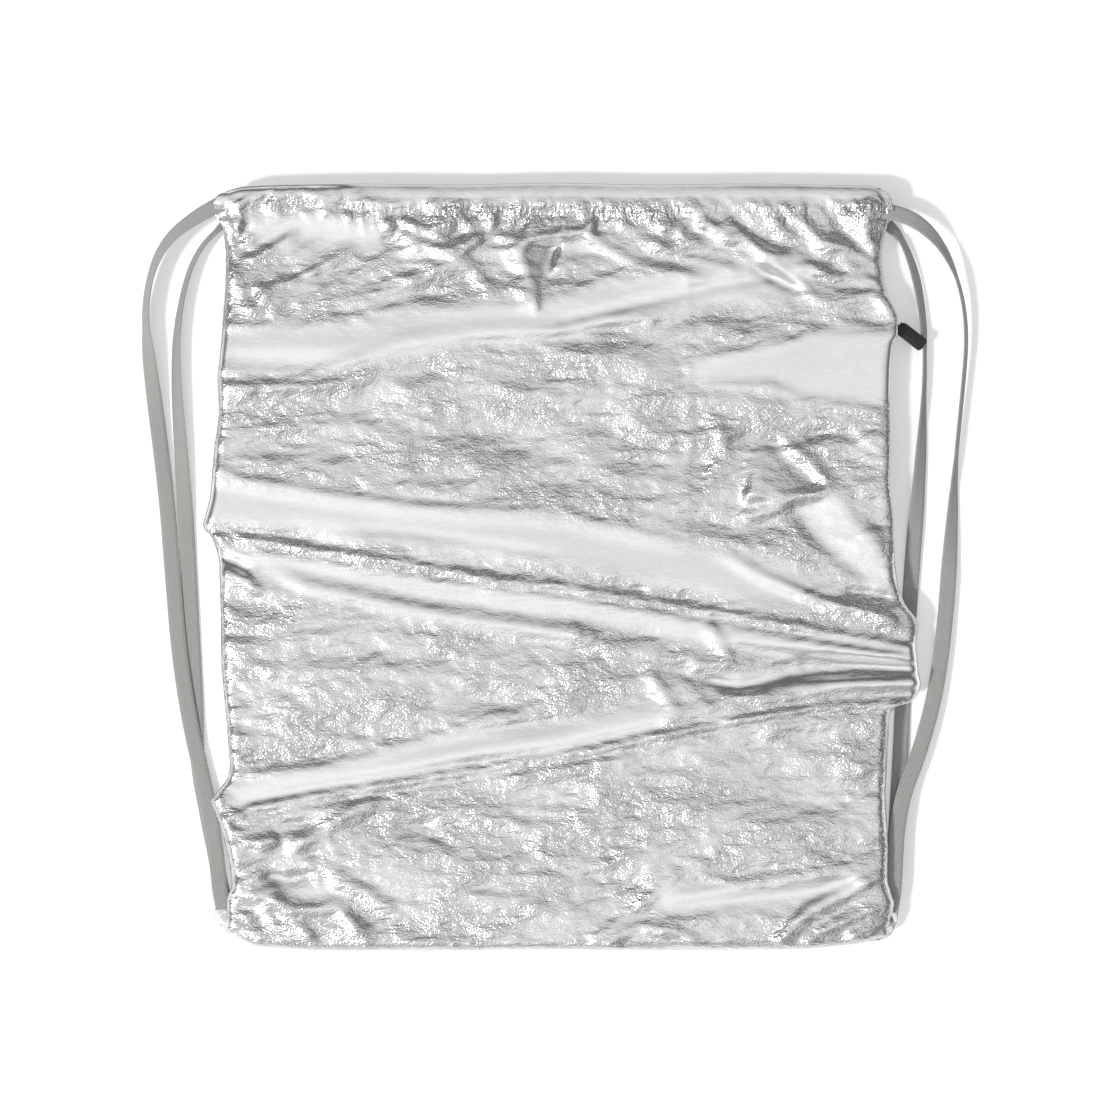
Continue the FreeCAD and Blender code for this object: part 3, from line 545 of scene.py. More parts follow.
def front_folds(x, y):
    c = Creases(x, y)
    fold, pull, patch = c.fold, c.pull, c.flat_patch
    whole = (0.0, 0.0)
    # broad taut band under the mouth, from the left side up to the right
    fold([(-212, 137), (-130, 138), (-60, 152), (0, 156), (53, 169), (100, 177), (152, 184)],
         (3, 3.6, 3.6, 3, 2.6, 2), 22, 20, 0.2, (0, .1))
    pull([(-200, 137), (-130, 138), (-60, 152), (0, 157), (53, 168), (100, 176), (150, 184)], 13, 12)
    fold([(-12, 151), (53, 166), (100, 176), (147, 184)], -2.2, 5, 5, 0.6)
    fold([(-173, 153), (-122, 157), (-100, 163), (-10, 165), (37, 182), (131, 188)], 1.6, 5, 9, 0.9)
    fold([(-209, 123), (-154, 120), (-93, 140), (-50, 146), (3, 149), (53, 157), (100, 162)], 2.2, 9, 5,
         0.9, (0, .1))
    fold([(-213, 113), (-180, 115), (-150, 114), (-112, 122)], (3.5, 3.5, 2.5, 1), 4, 9, 0.9, (0, .2))
    # wide taut band above the long pleat
    fold([(-214, 31), (-145, 24), (-61, 14), (3, 6), (84, -10), (150, -22)], (2.6, 2.6, 2.4, 2.4, 2, 1.4),
         32, 12, 0.15, (0, .1))
    pull([(-214, 42), (-145, 34), (-61, 24), (3, 16), (84, 0), (140, -12)], 15, 13)
    fold([(-213, 62), (-182, 54), (-145, 47), (-95, 40), (-61, 37), (3, 35), (84, 15)], (3, 3, 2.5, 2, 1.5),
         4, 11, 0.9, (0, .1))
    fold([(-182, 26), (-95, 22), (3, 8)], -1.0, 5, 5, 0.5)
    # the long pleat, from the left tip to the right
    pleat = [(-222, 21), (-197, 19), (-168, 15), (-124, 8), (-80, 1), (-36, -7), (3, -11), (87, -25),
             (150, -36), (227, -50)]
    fold(pleat, (5, 5.5, 5.5, 5, 4.5, 4.5, 5, 5.5), 2.6, 6.0, 1.0, whole)
    fold([(a, b - 7.5) for a, b in pleat], (1.5, 3, 4, 4, 3.5, 3.5, 4), 2.4, 12.0, 0.9, (0.05, 0))
    pull([(a, b - 12) for a, b in pleat], 4, 9, 0.85)
    fold([(-182, -1), (-154, -12), (-110, -21), (-66, -30), (3, -40), (40, -44)], 3.6, 8, 9, 0.7)
    pull([(-182, -2), (-154, -13), (-110, -22), (-66, -31), (3, -41)], 7, 6, 0.75)
    fold([(-213, -1), (-196, -6), (-184, -16)], 4, 6, 6, 0.9, (0, .2))
    fold([(-210, 8), (-198, 3), (-190, -6)], -3, 4, 5, 0.9, (0, .2))
    # right-hand flap between the pleat and the lower fold
    fold([(100, 12), (126, -3), (162, -19), (210, -31)], (1.5, 3, 4.5, 5), 5, 7, 0.9, (.1, 0))
    fold([(180, -13), (198, -16), (216, -20)], -5, 4, 5, 0.9)
    fold([(60, -40), (128, -47), (180, -52), (228, -57)], (0, 3, 4, 5), 9, 7, 0.7, whole)
    fold([(60, -62), (115, -75), (147, -66), (190, -63), (228, -62)], (-2.5, -3.5, -3, -3, -2), 5, 5, 0.8,
         (.1, 0))
    fold([(120, -63), (160, -59), (228, -58)], -2.0, 3, 4, 0.8, (.1, 0))
    fold([(130, -76), (180, -72), (228, -71)], (0, 4, 5), 6, 6, 0.7, whole)
    pull([(70, -38), (150, -50), (228, -52)], 8, 7, 0.85)
    pull([(100, -72), (160, -70), (228, -71)], 6, 7, 0.85)
    fold([(57, -62), (66, -76), (76, -88)], 2.5, 5, 8, 0.9)
    fold([(96, -34), (103, -46), (112, -58)], 3, 4, 9, 1.0)
    fold([(82, -70), (98, -82), (130, -86)], -2, 5, 5, 0.9)
    # lower fold, from the low left tip to the right
    lower = [(-218, -162), (-190, -150), (-154, -143), (-95, -134), (-36, -124), (3, -118), (53, -107),
             (109, -96), (162, -87), (229, -84)]
    fold(lower, (4, 4.5, 4.5, 4, 4, 4.5, 5.5, 6), 3.4, 5.5, 0.9, whole)
    fold([(a, b + 11) for a, b in lower], (2, 3, 3, 3, 3), 13, 9, 0.3, (.1, 0))
    fold([(a, b - 8) for a, b in lower], (1, 2.5, 2.5, 2.5, 2.5, 2.5, 3), 2.8, 9.0, 0.8, (.03, 0))
    pull([(-195, -143), (-154, -135), (-102, -124), (-51, -112), (3, -106), (60, -95)], 10, 8)
    fold([(-203, -131), (-154, -126), (-102, -113), (-51, -99), (-7, -88)], 1.6, 6, 7, 0.9)
    # small folds at the low left corner
    fold([(-201, -207), (-179, -204), (-168, -216), (-136, -212), (-124, -227), (-116, -237)], 4.5, 8, 6, 0.9)
    fold([(-213, -178), (-192, -172), (-172, -169)], 4.5, 6, 7, 0.9, (0, .15))
    fold([(-172, -169), (-186, -178), (-204, -186)], 3.5, 6, 6, 0.9)
    fold([(-171, -178), (-140, -160), (-108, -143)], (4, 4, 3), 8, 8, 0.8)
    fold([(-186, -190), (-168, -196), (-150, -190), (-139, -200)], -4, 6, 6, 0.8)
    fold([(-196, -222), (-182, -214), (-176, -226), (-160, -224), (-150, -236)], 3.5, 5, 5, 1.0)
    fold([(-206, -200), (-190, -196), (-178, -186)], 3.0, 5, 5, 1.0, (0, .2))
    fold([(-158, -182), (-146, -196), (-120, -202), (-96, -218)], 2.5, 7, 6, 0.8)
    pull([(-172, -196), (-140, -206)], 9, 9, 0.6)
    # low right corner
    fold([(137, -236), (160, -212), (190, -198), (210, -189)], 4.5, 6, 9, 0.9, (.05, 0))
    fold([(57, -208), (120, -199), (201, -190)], 3.0, 9, 10, 0.5)
    pull([(70, -206), (130, -204), (180, -198)], 7, 11, 0.9)
    fold([(20, -236), (50, -213), (80, -191)], 2.6, 5, 5, 0.9)
    fold([(23, -240), (51, -223), (74, -228), (98, -239)], 3.0, 6, 5, 0.9)
    fold([(150, -239), (168, -226), (196, -214), (209, -212)], 3.0, 5, 5, 1.0)
    fold([(176, -239), (186, -230), (200, -226)], 2.5, 4, 4, 1.0)
    # smooth patches, facets and creases of the upper right
    patch([(83, 124), (87, 131), (147, 141), (177, 151), (212, 148), (212, 111), (199, 102), (154, 106),
           (134, 115), (92, 113)], 1.0, (0.01, 0.03), 2.0, 9)
    fold([(88, 130), (147, 142), (177, 153), (208, 149)], 1.6, 5, 5, 0.9)
    fold([(88, 113), (134, 114), (154, 105), (199, 101)], 1.6, 5, 5, 0.9)
    patch([(146, 41), (176, 47), (200, 20), (210, -7), (198, -13), (158, 20)], 0.72, (0.15, 0.12), 0.6, 10)
    fold([(138, 80), (160, 64), (169, 51), (150, 44), (109, 28)], 3.4, 8, 6, 0.9)
    fold([(100, 74), (121, 82), (146, 78), (170, 86), (196, 78)], -2.5, 7, 7, 0.7)
    patch([(169, 52), (140, 80), (126, 74), (118, 42), (146, 42)], 0.3, (-0.20, -0.16), 0.4, 5)
    fold([(83, 196), (83, 60), (83, 16)], 0.7, 2.2, 3.0, 0.9, (.1, .1))
    fold([(96, 60), (108, 72), (100, 92)], 2.0, 6, 6, 0.9)
    # under the mouth
    fold([(-200, 221), (-180, 227), (-151, 228), (-137, 229), (-112, 225)], (-3.5, -4.5, -4, -3, -1.5), 3.0,
         4.5, 0.8, (0, .2))
    fold([(-200, 214), (-160, 221), (-120, 219), (-104, 209)], 2.0, 5, 14, 0.4, (.1, .1))
    pull([(-182, 213), (-150, 212), (-118, 208)], 9, 9, 0.85)
    fold([(-108, 222), (-101, 214), (-86, 205), (-73, 200), (-58, 203), (-43, 209)], 4.0, 5, 7, 0.9)
    fold([(-100, 221), (-84, 212), (-66, 206)], 3.0, 4, 5, 1.0)
    fold([(-78, 219), (-64, 214), (-50, 216)], 2.6, 4, 4, 1.0)
    fold([(-40, 209), (-20, 205), (8, 210), (30, 218)], 2.6, 3, 6, 1.0)
    patch([(-27, 203), (3, 204), (-12, 160)], 0.4, (-0.46, -0.14), 0.0, 4)
    fold([(-30, 205), (-22, 182), (-14, 160)], 2.4, 3, 10, 0.8)
    fold([(-170, 210), (-160, 195), (-150, 181)], 3.4, 9, 9, 0.6)
    fold([(-190, 180), (-180, 169), (-172, 160)], 3.2, 8, 8, 0.6)
    fold([(-206, 196), (-198, 176), (-190, 157)], 3.0, 5, 5, 1.0)
    fold([(-190, 157), (-182, 172), (-170, 179), (-150, 178)], 2.2, 5, 5, 1.0)
    fold([(-210, 152), (-190, 150), (-176, 153)], 1.8, 4, 4, 1.0, (0, .1))
    fold([(-100, 206), (-78, 188), (-60, 182)], 2.0, 7, 7, 0.8)
    fold([(-73, 200), (-52, 186), (-38, 170)], 2.2, 7, 7, 0.8)
    fold([(-56, 196), (-34, 192), (-22, 178)], -1.8, 5, 5, 0.8)
    # folds that fan from the mouth towards the right side
    for a, b, size in (((14, 211), (96, 180), 2.2), ((34, 219), (118, 186), 2.4),
                       ((60, 219), (132, 191), 2.6), ((86, 219), (150, 192), 2.8),
                       ((104, 217), (158, 194), 3.0), ((122, 206), (166, 184), 2.6),
                       ((130, 219), (176, 198), 2.6), ((150, 218), (190, 200), 3.0)):
        middle = ((a[0] + b[0]) / 2 - 4, (a[1] + b[1]) / 2 - 5)
        fold([a, middle, b], size, 5, 6, 0.9)
    pull([(10, 200), (70, 190), (130, 188)], 7, 5, 0.45)
    fold([(126, 195), (146, 184), (160, 176)], 3.4, 3.5, 5, 1.0)
    fold([(122, 189), (142, 178), (156, 172)], -2.6, 4, 4, 1.0)
    fold([(148, 186), (158, 190), (172, 184)], 3.2, 5, 5, 1.0)
    fold([(160, 186), (176, 184), (204, 178), (208, 166)], 2.6, 4, 5, 1.0, (.1, 0))
    fold([(150, 174), (172, 164), (198, 172), (210, 160)], 2.8, 6, 5, 1.0)
    fold([(168, 208), (180, 200), (192, 204), (206, 196)], 3.0, 5, 5, 1.0)
    fold([(176, 194), (190, 186), (200, 192), (207, 180)], 3.0, 4, 5, 1.0, (.1, 0))
    fold([(160, 155), (180, 150), (208, 152)], -2.0, 4, 4, 0.9)
    # short ticks at both sides, where the seams draw the edges in
    for y0, tilt in ((104, 4), (92, 6), (78, 3), (-46, -3), (-62, 3), (-90, 4), (-104, -3), (-118, 3)):
        fold([(-212, y0), (-200, y0 + tilt * 0.3), (-188, y0 + tilt)], 2.2, 4, 4, 1.0, (0, .2))
    for y0, tilt in ((96, 3), (84, -3), (66, 4), (44, 3), (24, -4), (-104, 3), (-124, -3), (-146, 3),
                     (-168, -4)):
        fold([(188, y0 + tilt), (200, y0 + tilt * 0.3), (211, y0)], 2.0, 4, 4, 1.0, (.2, 0))
    return c


def back_folds(x, y):
    c = Creases(x, y)
    for line, rise in (([(-206, 150), (-90, 120), (40, 150), (206, 118)], 2.4),
                       ([(-206, 40), (-60, 64), (90, 30), (206, 52)], 2.4),
                       ([(-206, -60), (-70, -30), (60, -66), (206, -44)], 2.4),
                       ([(-206, -150), (-40, -176), (110, -140), (206, -160)], 2.4),
                       ([(-150, 210), (-90, 150), (-110, 90)], 1.8),
                       ([(120, 210), (90, 160), (130, 110)], 1.8),
                       ([(-120, -80), (-70, -120), (-90, -190)], 1.8),
                       ([(60, -70), (110, -110), (90, -200)], 1.8)):
        c.fold(line, rise, 9, 9, 0.7)
    return c


HEM_LINE = [(-212, -1), (-198, 0), (-180, 4.5), (-151, 5.5), (-137, 6), (-118, 2), (-100, 0), (212, 0)]


# the lowest that the front's outer face may lie: over the panel, the pocket, the channel and the hem's cords
PANEL_FACE, POCKET_FACE, CHANNEL_FACE, HEM_FACE = 17.4, 18.8, 21.9, 23.7


def lowest(x, y):
    """How low the front's outer face may lie at a place, so that it clears what is inside."""
    low = np.where((x > 84) & (x < 206) & (y > -3) & (y < 174), POCKET_FACE, PANEL_FACE)
    low = np.where(y > 221.6, CHANNEL_FACE, low)
    return np.where((y > 228.2) | ((x < -178) & (y > 225)), HEM_FACE, low)


LOFT = 22.2
EDGE_ROW = -999.0
WALL_FOOT = -60.0
ZIP_FOOT, ZIP_HEAD, ZIP_WALL_X = 1, 171, 206.95
HEM_HALF, PUCKERS = 206, 64
HEM_TOP = 23.6
# the hem turned in over the top: each row's place up the bag from its edge, and its height from HEM_TOP
HEM_TURN = [(0.7, -0.6), (1.2, -1.8), (0.8, -3.1), (-0.6, -4.2), (-3.0, -4.8), (-7.0, -5.0), (-12.0, -5.0),
            (-17.0, -4.7), (-19.0, -4.3)]


def bow(angles):
    """How far a rounded wall has risen, and how far it stands out, at each angle."""
    turned = np.radians(np.clip(angles, WALL_FOOT, 90))
    return np.sin(turned), np.cos(turned)


def gather(x, above, seed):
    """Small gathers along the hem; above is each point's way up from the line of stitches."""
    lane = np.random.default_rng(seed)
    pucker = np.zeros_like(x)
    for k in range(PUCKERS):
        middle = -HEM_HALF + 2 * HEM_HALF * (k + 0.5 + lane.uniform(-0.45, 0.45)) / PUCKERS
        lean, size = lane.uniform(-0.55, 0.55), lane.uniform(0.7, 2.5)
        wide, reach = lane.uniform(1.6, 3.4), lane.uniform(7, 17)
        up = lane.uniform(0.28, 0.60) * reach
        centre = middle + lean * above
        shape = np.clip(1 - np.abs(x - centre) / (wide * (1 + np.abs(above) / 14)), 0, 1)
        fade = np.exp(-(np.where(above > 0, above / up, above / reach)) ** 2)
        pucker += size * shape * fade
    return pucker


def turn_in(x, y, z, wall):
    """Adds the rows of the hem that is turned in over the top edge, kept a little apart at the sides."""
    nx = x.shape[1]
    top_x, top_y = np.clip(x[-1], x[-1][wall], x[-1][-wall - 1]), y[-1]
    top_x = top_x + 0.15 * (x[-1] - top_x) + 0.02 * (np.arange(nx) - nx / 2) / nx
    for step, fall in HEM_TURN:
        x = np.vstack([x, top_x])
        y = np.vstack([y, top_y + 1.0 + step])
        z = np.vstack([z, np.full(nx, HEM_TOP + fall)])
    return x, y, z


def panel_shape(front):
    """The laid cloth: x, y and z in mm for every row and column, how much each point crinkles and
    ruffles and whether it is held, then the numbers of columns and rows."""
    side = np.array([EDGE_ROW] + WALL + [90.0])
    inner_columns, inner_rows = GRIDS[front]
    columns = np.concatenate([side, np.full(inner_columns, 90.0), side[::-1]])
    rows = np.concatenate([side, np.full(inner_rows, 90.0)])
    wall = len(side)
    nx, ny = len(columns), len(rows)
    u = np.clip((np.arange(nx) - wall + 0.5) / inner_columns, 0, 1)
    v = np.clip((np.arange(ny) - wall + 0.5) / (inner_rows - 0.5), 0, 1)
    y_guess = BAG_FOOT + 6 + (BAG_TOP - 6 - BAG_FOOT - 6) * v
    across, guess = np.meshgrid(u, y_guess)
    left, right = curve_at(LEFT_EDGE, guess), curve_at(RIGHT_EDGE, guess)
    mouth = np.clip((guess - 206) / 10, 0, 1)
    in_zip = np.clip((guess - ZIP_FOOT) / 4, 0, 1) * np.clip((ZIP_HEAD - guess) / 4, 0, 1) * (across > 0.5)
    loft = LOFT + in_zip * 1.2 * np.clip((across - 0.9) * 10, 0, 1)
    x = left + SIDE_RADIUS + (right - left - 2 * SIDE_RADIUS) * across
    foot, head = curve_at(FOOT_EDGE, x), curve_at(HEAD_EDGE, x)
    y = foot + SIDE_RADIUS + (head - 1.5 - foot - SIDE_RADIUS) * v[:, None]
    folds = front_folds(x, y) if front else back_folds(x, y)
    taut = folds.taut
    # soft unevenness of the lying cloth
    loose = 1 - 0.9 * taut
    rough = rumple(x.shape, 5 if front else 6, 16, 8) * 0.9 * (1 - 0.5 * taut)
    rough += (0.75 - np.abs(rumple(x.shape, 15, 9, 2.6))) * 1.0 * loose
    rough += (0.75 - np.abs(rumple(x.shape, 25, 4.5, 1.4))) * 0.55 * loose
    above = y - STITCH_Y - curve_at(HEM_LINE, x)
    band = np.clip((above - 4) / 4, 0, 1)
    z = loft + (folds.height * (0.7 if front else 0.4) + rough * (0.8 if front else 0.5)) * (1 - 0.8 * band)
    # the hem: a tube above its line of stitches, puckered on both sides of it
    gathered = curve_at([(-212, 0.5), (-140, 0.35), (-120, 1), (205, 1), (212, 0.6)], x) if front else 0.5
    groove = -3.0 * np.exp(-(above / 2.4) ** 2)
    tube = 2.3 * np.clip(above / 5.5, 0, 1)
    z += groove + tube - 0.7 * np.clip((y - head + 3.2) / 1.8, 0, 1) ** 2
    if front:
        z += 1.8 * np.clip((-122 - x) / 20, 0, 1) * np.clip((above + 12) / 10, 0, 1)
    z += (gather(x, above, 9 if front else 10) - 1.0 * np.exp(-(above / 8) ** 2)) * gathered
    if front:
        z = np.maximum(z, lowest(x, y))
    # side and foot walls
    rise_x, out_x = (part[None, :] for part in bow(columns))
    rise_y, out_y = (part[:, None] for part in bow(rows))
    seam = np.where(in_zip > 0.5, 18.6, SEAM_Z + 0.1)
    seam = seam + (z - 0.7 - seam) * mouth
    whole_drop = 1 + math.sin(math.radians(60))
    drop = np.maximum((1 - rise_x) / whole_drop, (1 - rise_y) / whole_drop)
    z = np.where(drop > 0, z - (z - seam) * drop, z)
    way = np.where(across < 0.5, -1.0, 1.0)
    x = x + way * SIDE_RADIUS * out_x
    y = y - SIDE_RADIUS * out_y
    # seam allowance, turned inwards behind the edge
    last_column = (columns == EDGE_ROW)[None, :]
    last_row = (rows == EDGE_ROW)[:, None]
    x = np.where(last_column & (in_zip < 0.5), x - way * (5.0 - 4.0 * mouth), x)
    y = np.where(last_row, y + 4.0, y)
    # beside the zip the wall stands up straight behind the zip's tape
    zip_wall = (in_zip > 0.5) & (columns[None, :] < 0) & (across > 0.5)
    x = np.where(zip_wall, ZIP_WALL_X, x)
    z = np.where(zip_wall & last_column, 17.5, z)
    x, y, z = turn_in(x, y, z, wall)
    extra = len(HEM_TURN)
    # crinkle sets fine creases and also the painted shade in the foil's colour, so the taut parts and the hem
    # stay lighter
    crinkle = np.vstack([1 - taut, np.full((extra, nx), 0.2)])
    hem = np.vstack([np.clip((above - 5) / 4, 0, 1), np.ones((extra, nx))])
    crinkle = crinkle * (1 - 0.85 * hem)
    held = np.zeros_like(z)
    held[:, :wall] = held[:, -wall:] = 1.0
    held[:wall, :] = 1.0
    held[-extra - 1:, :] = 1.0
    ruffle = np.vstack([gathered * np.exp(-(np.abs(above) / 7) ** 2), np.zeros((extra, nx))])
    return x, y, z, crinkle, ruffle, held, nx, ny + extra


def lay_cloth(name, front):
    """Makes a panel: its laid folds, then a small buckle from a cut that is larger than its place."""
    x, y, z, crinkle, ruffle, held, nx, ny = panel_shape(front)
    laid = np.stack([x, y, z], -1)
    cut = laid.copy()
    at_hem, at_foot = np.exp(-((y - STITCH_Y) / 20) ** 2), np.exp(-((y - BAG_FOOT) / 30) ** 2)
    widen = 0.003 + 0.045 * at_hem + 0.006 * at_foot
    cut[..., 0] = x * (1 + widen)
    cut[..., 1] = y * 1.010
    if not front:
        laid[..., 2] = np.maximum(2 * SEAM_Z - laid[..., 2] + 1.6, 0.35)
        cut[..., 2] = 2 * SEAM_Z - cut[..., 2] + 1.6
    index = np.arange(nx * ny).reshape(ny, nx)
    a, b, c, d = index[:-1, :-1], index[:-1, 1:], index[1:, 1:], index[1:, :-1]
    quads = np.stack([a, b, c, d] if front else [a, d, c, b], -1).reshape(-1, 4)
    mesh = bpy.data.meshes.new(name)
    mesh.from_pydata((cut.reshape(-1, 3) * MM).tolist(), [], quads.tolist())
    cloth = bpy.data.objects.new(name, mesh)
    bpy.context.collection.objects.link(cloth)
    settled = laid
    settled = settle(cloth, laid, held, crinkle)
    soft = np.clip(crinkle * 1.3 - 0.15, 0, 1)[..., None] * (1 - held[..., None])
    move = np.clip(settled - laid, -5.0, 5.0)
    near_hem = np.exp(-((laid[..., 1] - STITCH_Y) / 34) ** 2)
    low_left = np.clip((-170 - laid[..., 1]) / 40, 0, 1) * np.clip((-110 - laid[..., 0]) / 40, 0, 1)
    move *= np.clip(0.34 + 0.66 * (near_hem + low_left), 0, 1)[..., None]
    final = laid + move * (0.12 + 0.88 * soft) * (1 - held[..., None])
    low = lowest(final[..., 0], final[..., 1]) if front else 0.3
    high = HIGHEST[front]
    final[..., 2] = np.where(held < 0.5, np.clip(final[..., 2], low, high), final[..., 2])
    mesh.vertices.foreach_set("co", (final.reshape(-1, 3) * MM).astype(np.float32).ravel())
    for mark, amount in (("crinkle", crinkle), ("ruffle", ruffle)):
        written = mesh.attributes.new(mark, "FLOAT", "POINT")
        written.data.foreach_set("value", amount.astype(np.float32).ravel())
    mesh.update()
    only(cloth)
    finer = cloth.modifiers.new("finer", "SUBSURF")
    finer.levels = finer.render_levels = 1
    bpy.ops.object.modifier_apply(modifier="finer")
    crease_finely(cloth, front)
    cloth.data.materials.append(foil)
    only(cloth)
    bpy.ops.object.shade_smooth()
    return cloth


def settle(cloth, laid, held, crinkle):
    """Runs the cloth: cut size first, then its edges move to the seams and the rest follows."""
    shape = laid.shape
    cloth.shape_key_add(name="cut")
    place = cloth.shape_key_add(name="laid")
    place.data.foreach_set("co", (laid.reshape(-1, 3) * MM).astype(np.float32).ravel())
    place.value = 0.0
    place.keyframe_insert("value", frame=1)
    place.value = 1.0
    place.keyframe_insert("value", frame=9)
    weights = cloth.vertex_groups.new(name="held")
    levels = np.where(held > 0.5, 1.0, np.where(crinkle < 0.5, 0.55, 0.16)).ravel()
    for level in np.unique(levels):
        weights.add([int(i) for i in np.flatnonzero(levels == level)], float(level), "REPLACE")
    cloth_run = cloth.modifiers.new("settle", "CLOTH")
    s = cloth_run.settings
    s.quality, s.mass = 5, 0.03
    s.tension_stiffness = s.compression_stiffness = 30
    s.shear_stiffness, s.bending_stiffness = 8, 0.02
    s.vertex_group_mass = "held"
    s.pin_stiffness = 0.6
    s.effector_weights.gravity = 0.0
    s.tension_damping = s.compression_damping = 5
    s.air_damping = 2
    cloth_run.collision_settings.use_collision = False
    scene = bpy.context.scene
    last = 22
    scene.frame_start, scene.frame_end, cloth_run.point_cache.frame_end = 1, last, last
    for step in range(1, last + 1):
        scene.frame_set(step)
    view = cloth.evaluated_get(bpy.context.evaluated_depsgraph_get())
    out = np.empty(shape[0] * shape[1] * 3, dtype=np.float32)
    view.data.vertices.foreach_get("co", out)
    cloth.modifiers.remove(cloth_run)
    cloth.shape_key_clear()
    cloth.animation_data_clear()
    cloth.vertex_groups.clear()
    scene.frame_set(1)
    return out.reshape(shape).astype(float) / MM


def crease_finely(cloth, front):
    """Small sharp crumples, longer across the bag than up it."""
    mesh = cloth.data
    count = len(mesh.vertices)
    co = np.empty(count * 3, dtype=np.float32)
    mesh.vertices.foreach_get("co", co)
    co = co.reshape(-1, 3)
    amount = np.empty(count, dtype=np.float32)
    mesh.attributes["crinkle"].data.foreach_get("value", amount)
    px, py = co[:, 0] / MM, co[:, 1] / MM
    field = np.zeros(count)
    high, wide = 520, 480
    grains = ((21, 3.2, 1.2, 0.20), (22, 1.7, 0.8, 0.13), (23, 6.5, 2.4, 0.28))
    for seed, across, along, size in grains:
        cells = 1.0 - np.abs(rumple((high, wide), seed, across, along))
        gx, gy = px + wide / 2, py + high / 2
        i, j = np.clip(gx.astype(int), 0, wide - 2), np.clip(gy.astype(int), 0, high - 2)
        fx, fy = gx - i, gy - j
        value = (cells[j, i] * (1 - fx) * (1 - fy) + cells[j, i + 1] * fx * (1 - fy)
                 + cells[j + 1, i] * (1 - fx) * fy + cells[j + 1, i + 1] * fx * fy)
        field += size * value
    top = np.clip((co[:, 2] / MM - 17.0) / 3.0, 0, 1) if front else np.clip((6.0 - co[:, 2] / MM) / 3.0, 0, 1)
    field *= amount * top
    if front:
        low = lowest(px, py) * MM
        outer = co[:, 2] > low - 0.0016
        co[:, 2] += (field * MM).astype(np.float32)
        co[:, 2] = np.where(outer, np.maximum(co[:, 2], low), co[:, 2])
    else:
        co[:, 2] = np.maximum(co[:, 2] - (field * MM).astype(np.float32), 0.0002)
    mesh.vertices.foreach_set("co", co.ravel())
    mesh.update()


front_cloth = lay_cloth("front_cloth", True)
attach(front_cloth, "bag")
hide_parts("front_panel", "front_channel_facing")

back_cloth = lay_cloth("back_cloth", False)
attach(back_cloth, "bag")
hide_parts("back_panel", "back_channel_facing")


# ---------------------------------------------------------------- corner tabs

def fold_tab(name, node, outline, seed):
    """A small folded patch of the foil cloth, sewn into the corner over the tape's end."""
    bpy.ops.object.select_all(action="DESELECT")
    bpy.ops.mesh.primitive_circle_add(vertices=len(outline), radius=0.01, fill_type="NGON")
    tab = bpy.context.active_object
    tab.name = tab.data.name = name
    for vertex, (x, y) in zip(tab.data.vertices, outline):
        vertex.co = (x * MM, y * MM, 0.0100)
    bpy.ops.object.mode_set(mode="EDIT")
    bpy.ops.mesh.select_all(action="SELECT")
    bpy.ops.mesh.extrude_region_move(TRANSFORM_OT_translate={"value": (0, 0, 0.0044)})
    bpy.ops.mesh.select_all(action="SELECT")
    bpy.ops.mesh.normals_make_consistent(inside=False)
    bpy.ops.mesh.bevel(offset=0.0012, segments=3, affect="EDGES")
    bpy.ops.mesh.select_all(action="SELECT")
    bpy.ops.mesh.quads_convert_to_tris()
    bpy.ops.mesh.subdivide(number_cuts=2)
    bpy.ops.object.mode_set(mode="OBJECT")
    for vertex in tab.data.vertices:
        x, y, z = vertex.co / MM
        ripple = 0.35 * math.sin(x * 0.9 + y * 0.5) + 0.2 * math.sin(x * 0.4 - y * 1.1 + seed)
        vertex.co.z += (ripple if z > 12 else 0.0) * MM
    # a little crinkle: fine creases and a little painted shade in the foil's colour
    mark = tab.data.attributes.new("crinkle", "FLOAT", "POINT")
    mark.data.foreach_set("value", [0.12] * len(tab.data.vertices))
    facing_out(tab)
    smooth(tab, 45)
    tab.data.materials.append(foil)
    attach(tab, "bag")
    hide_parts(node)
    return tab


fold_tab("left_tab_cloth", "left_corner_tab",
         [(-215.4, -214.5), (-214.2, -220), (-209, -226), (-202, -231), (-194, -235), (-190, -230),
          (-198, -222), (-204, -213)], 3)
fold_tab("right_tab_cloth", "right_corner_tab",
         [(216.4, -216), (214.6, -224), (211, -231), (204, -234.5), (194, -235), (190, -228), (197, -221),
          (205, -215)], 4)


# ---------------------------------------------------------------- stitches

def sew(name, node, places, length, width, thread_z):
    """One rounded stitch, modelled once and copied to each place: x, y and its turn in degrees."""
    bpy.ops.object.select_all(action="DESELECT")
    bpy.ops.mesh.primitive_cube_add(size=1.0)
    first = bpy.context.active_object
    bpy.ops.object.mode_set(mode="EDIT")
    bpy.ops.mesh.select_all(action="SELECT")
    bpy.ops.transform.resize(value=(length * MM, width * MM, width * 0.8 * MM))
    bpy.ops.mesh.bevel(offset=width * 0.3 * MM, segments=2, affect="EDGES")
    bpy.ops.object.mode_set(mode="OBJECT")
    copies = []
    for x, y, turn in places:
        copy = bpy.data.objects.new(name, first.data.copy())
        bpy.context.collection.objects.link(copy)
        copy.location = (x * MM, y * MM, thread_z(x, y) * MM)
        copy.rotation_euler = (0.0, 0.0, math.radians(turn))
        copies.append(copy)
    bpy.data.objects.remove(first)
    bpy.ops.object.select_all(action="DESELECT")
    for copy in copies:
        copy.select_set(True)
    bpy.context.view_layer.objects.active = copies[0]
    bpy.ops.object.join()
    bpy.ops.object.transform_apply(location=True, rotation=True, scale=True)
    row = bpy.context.active_object
    row.name = row.data.name = name
    bpy.ops.object.shade_smooth()
    row.data.materials.append(thread)
    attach(row, "bag")
    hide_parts(node)
    return row


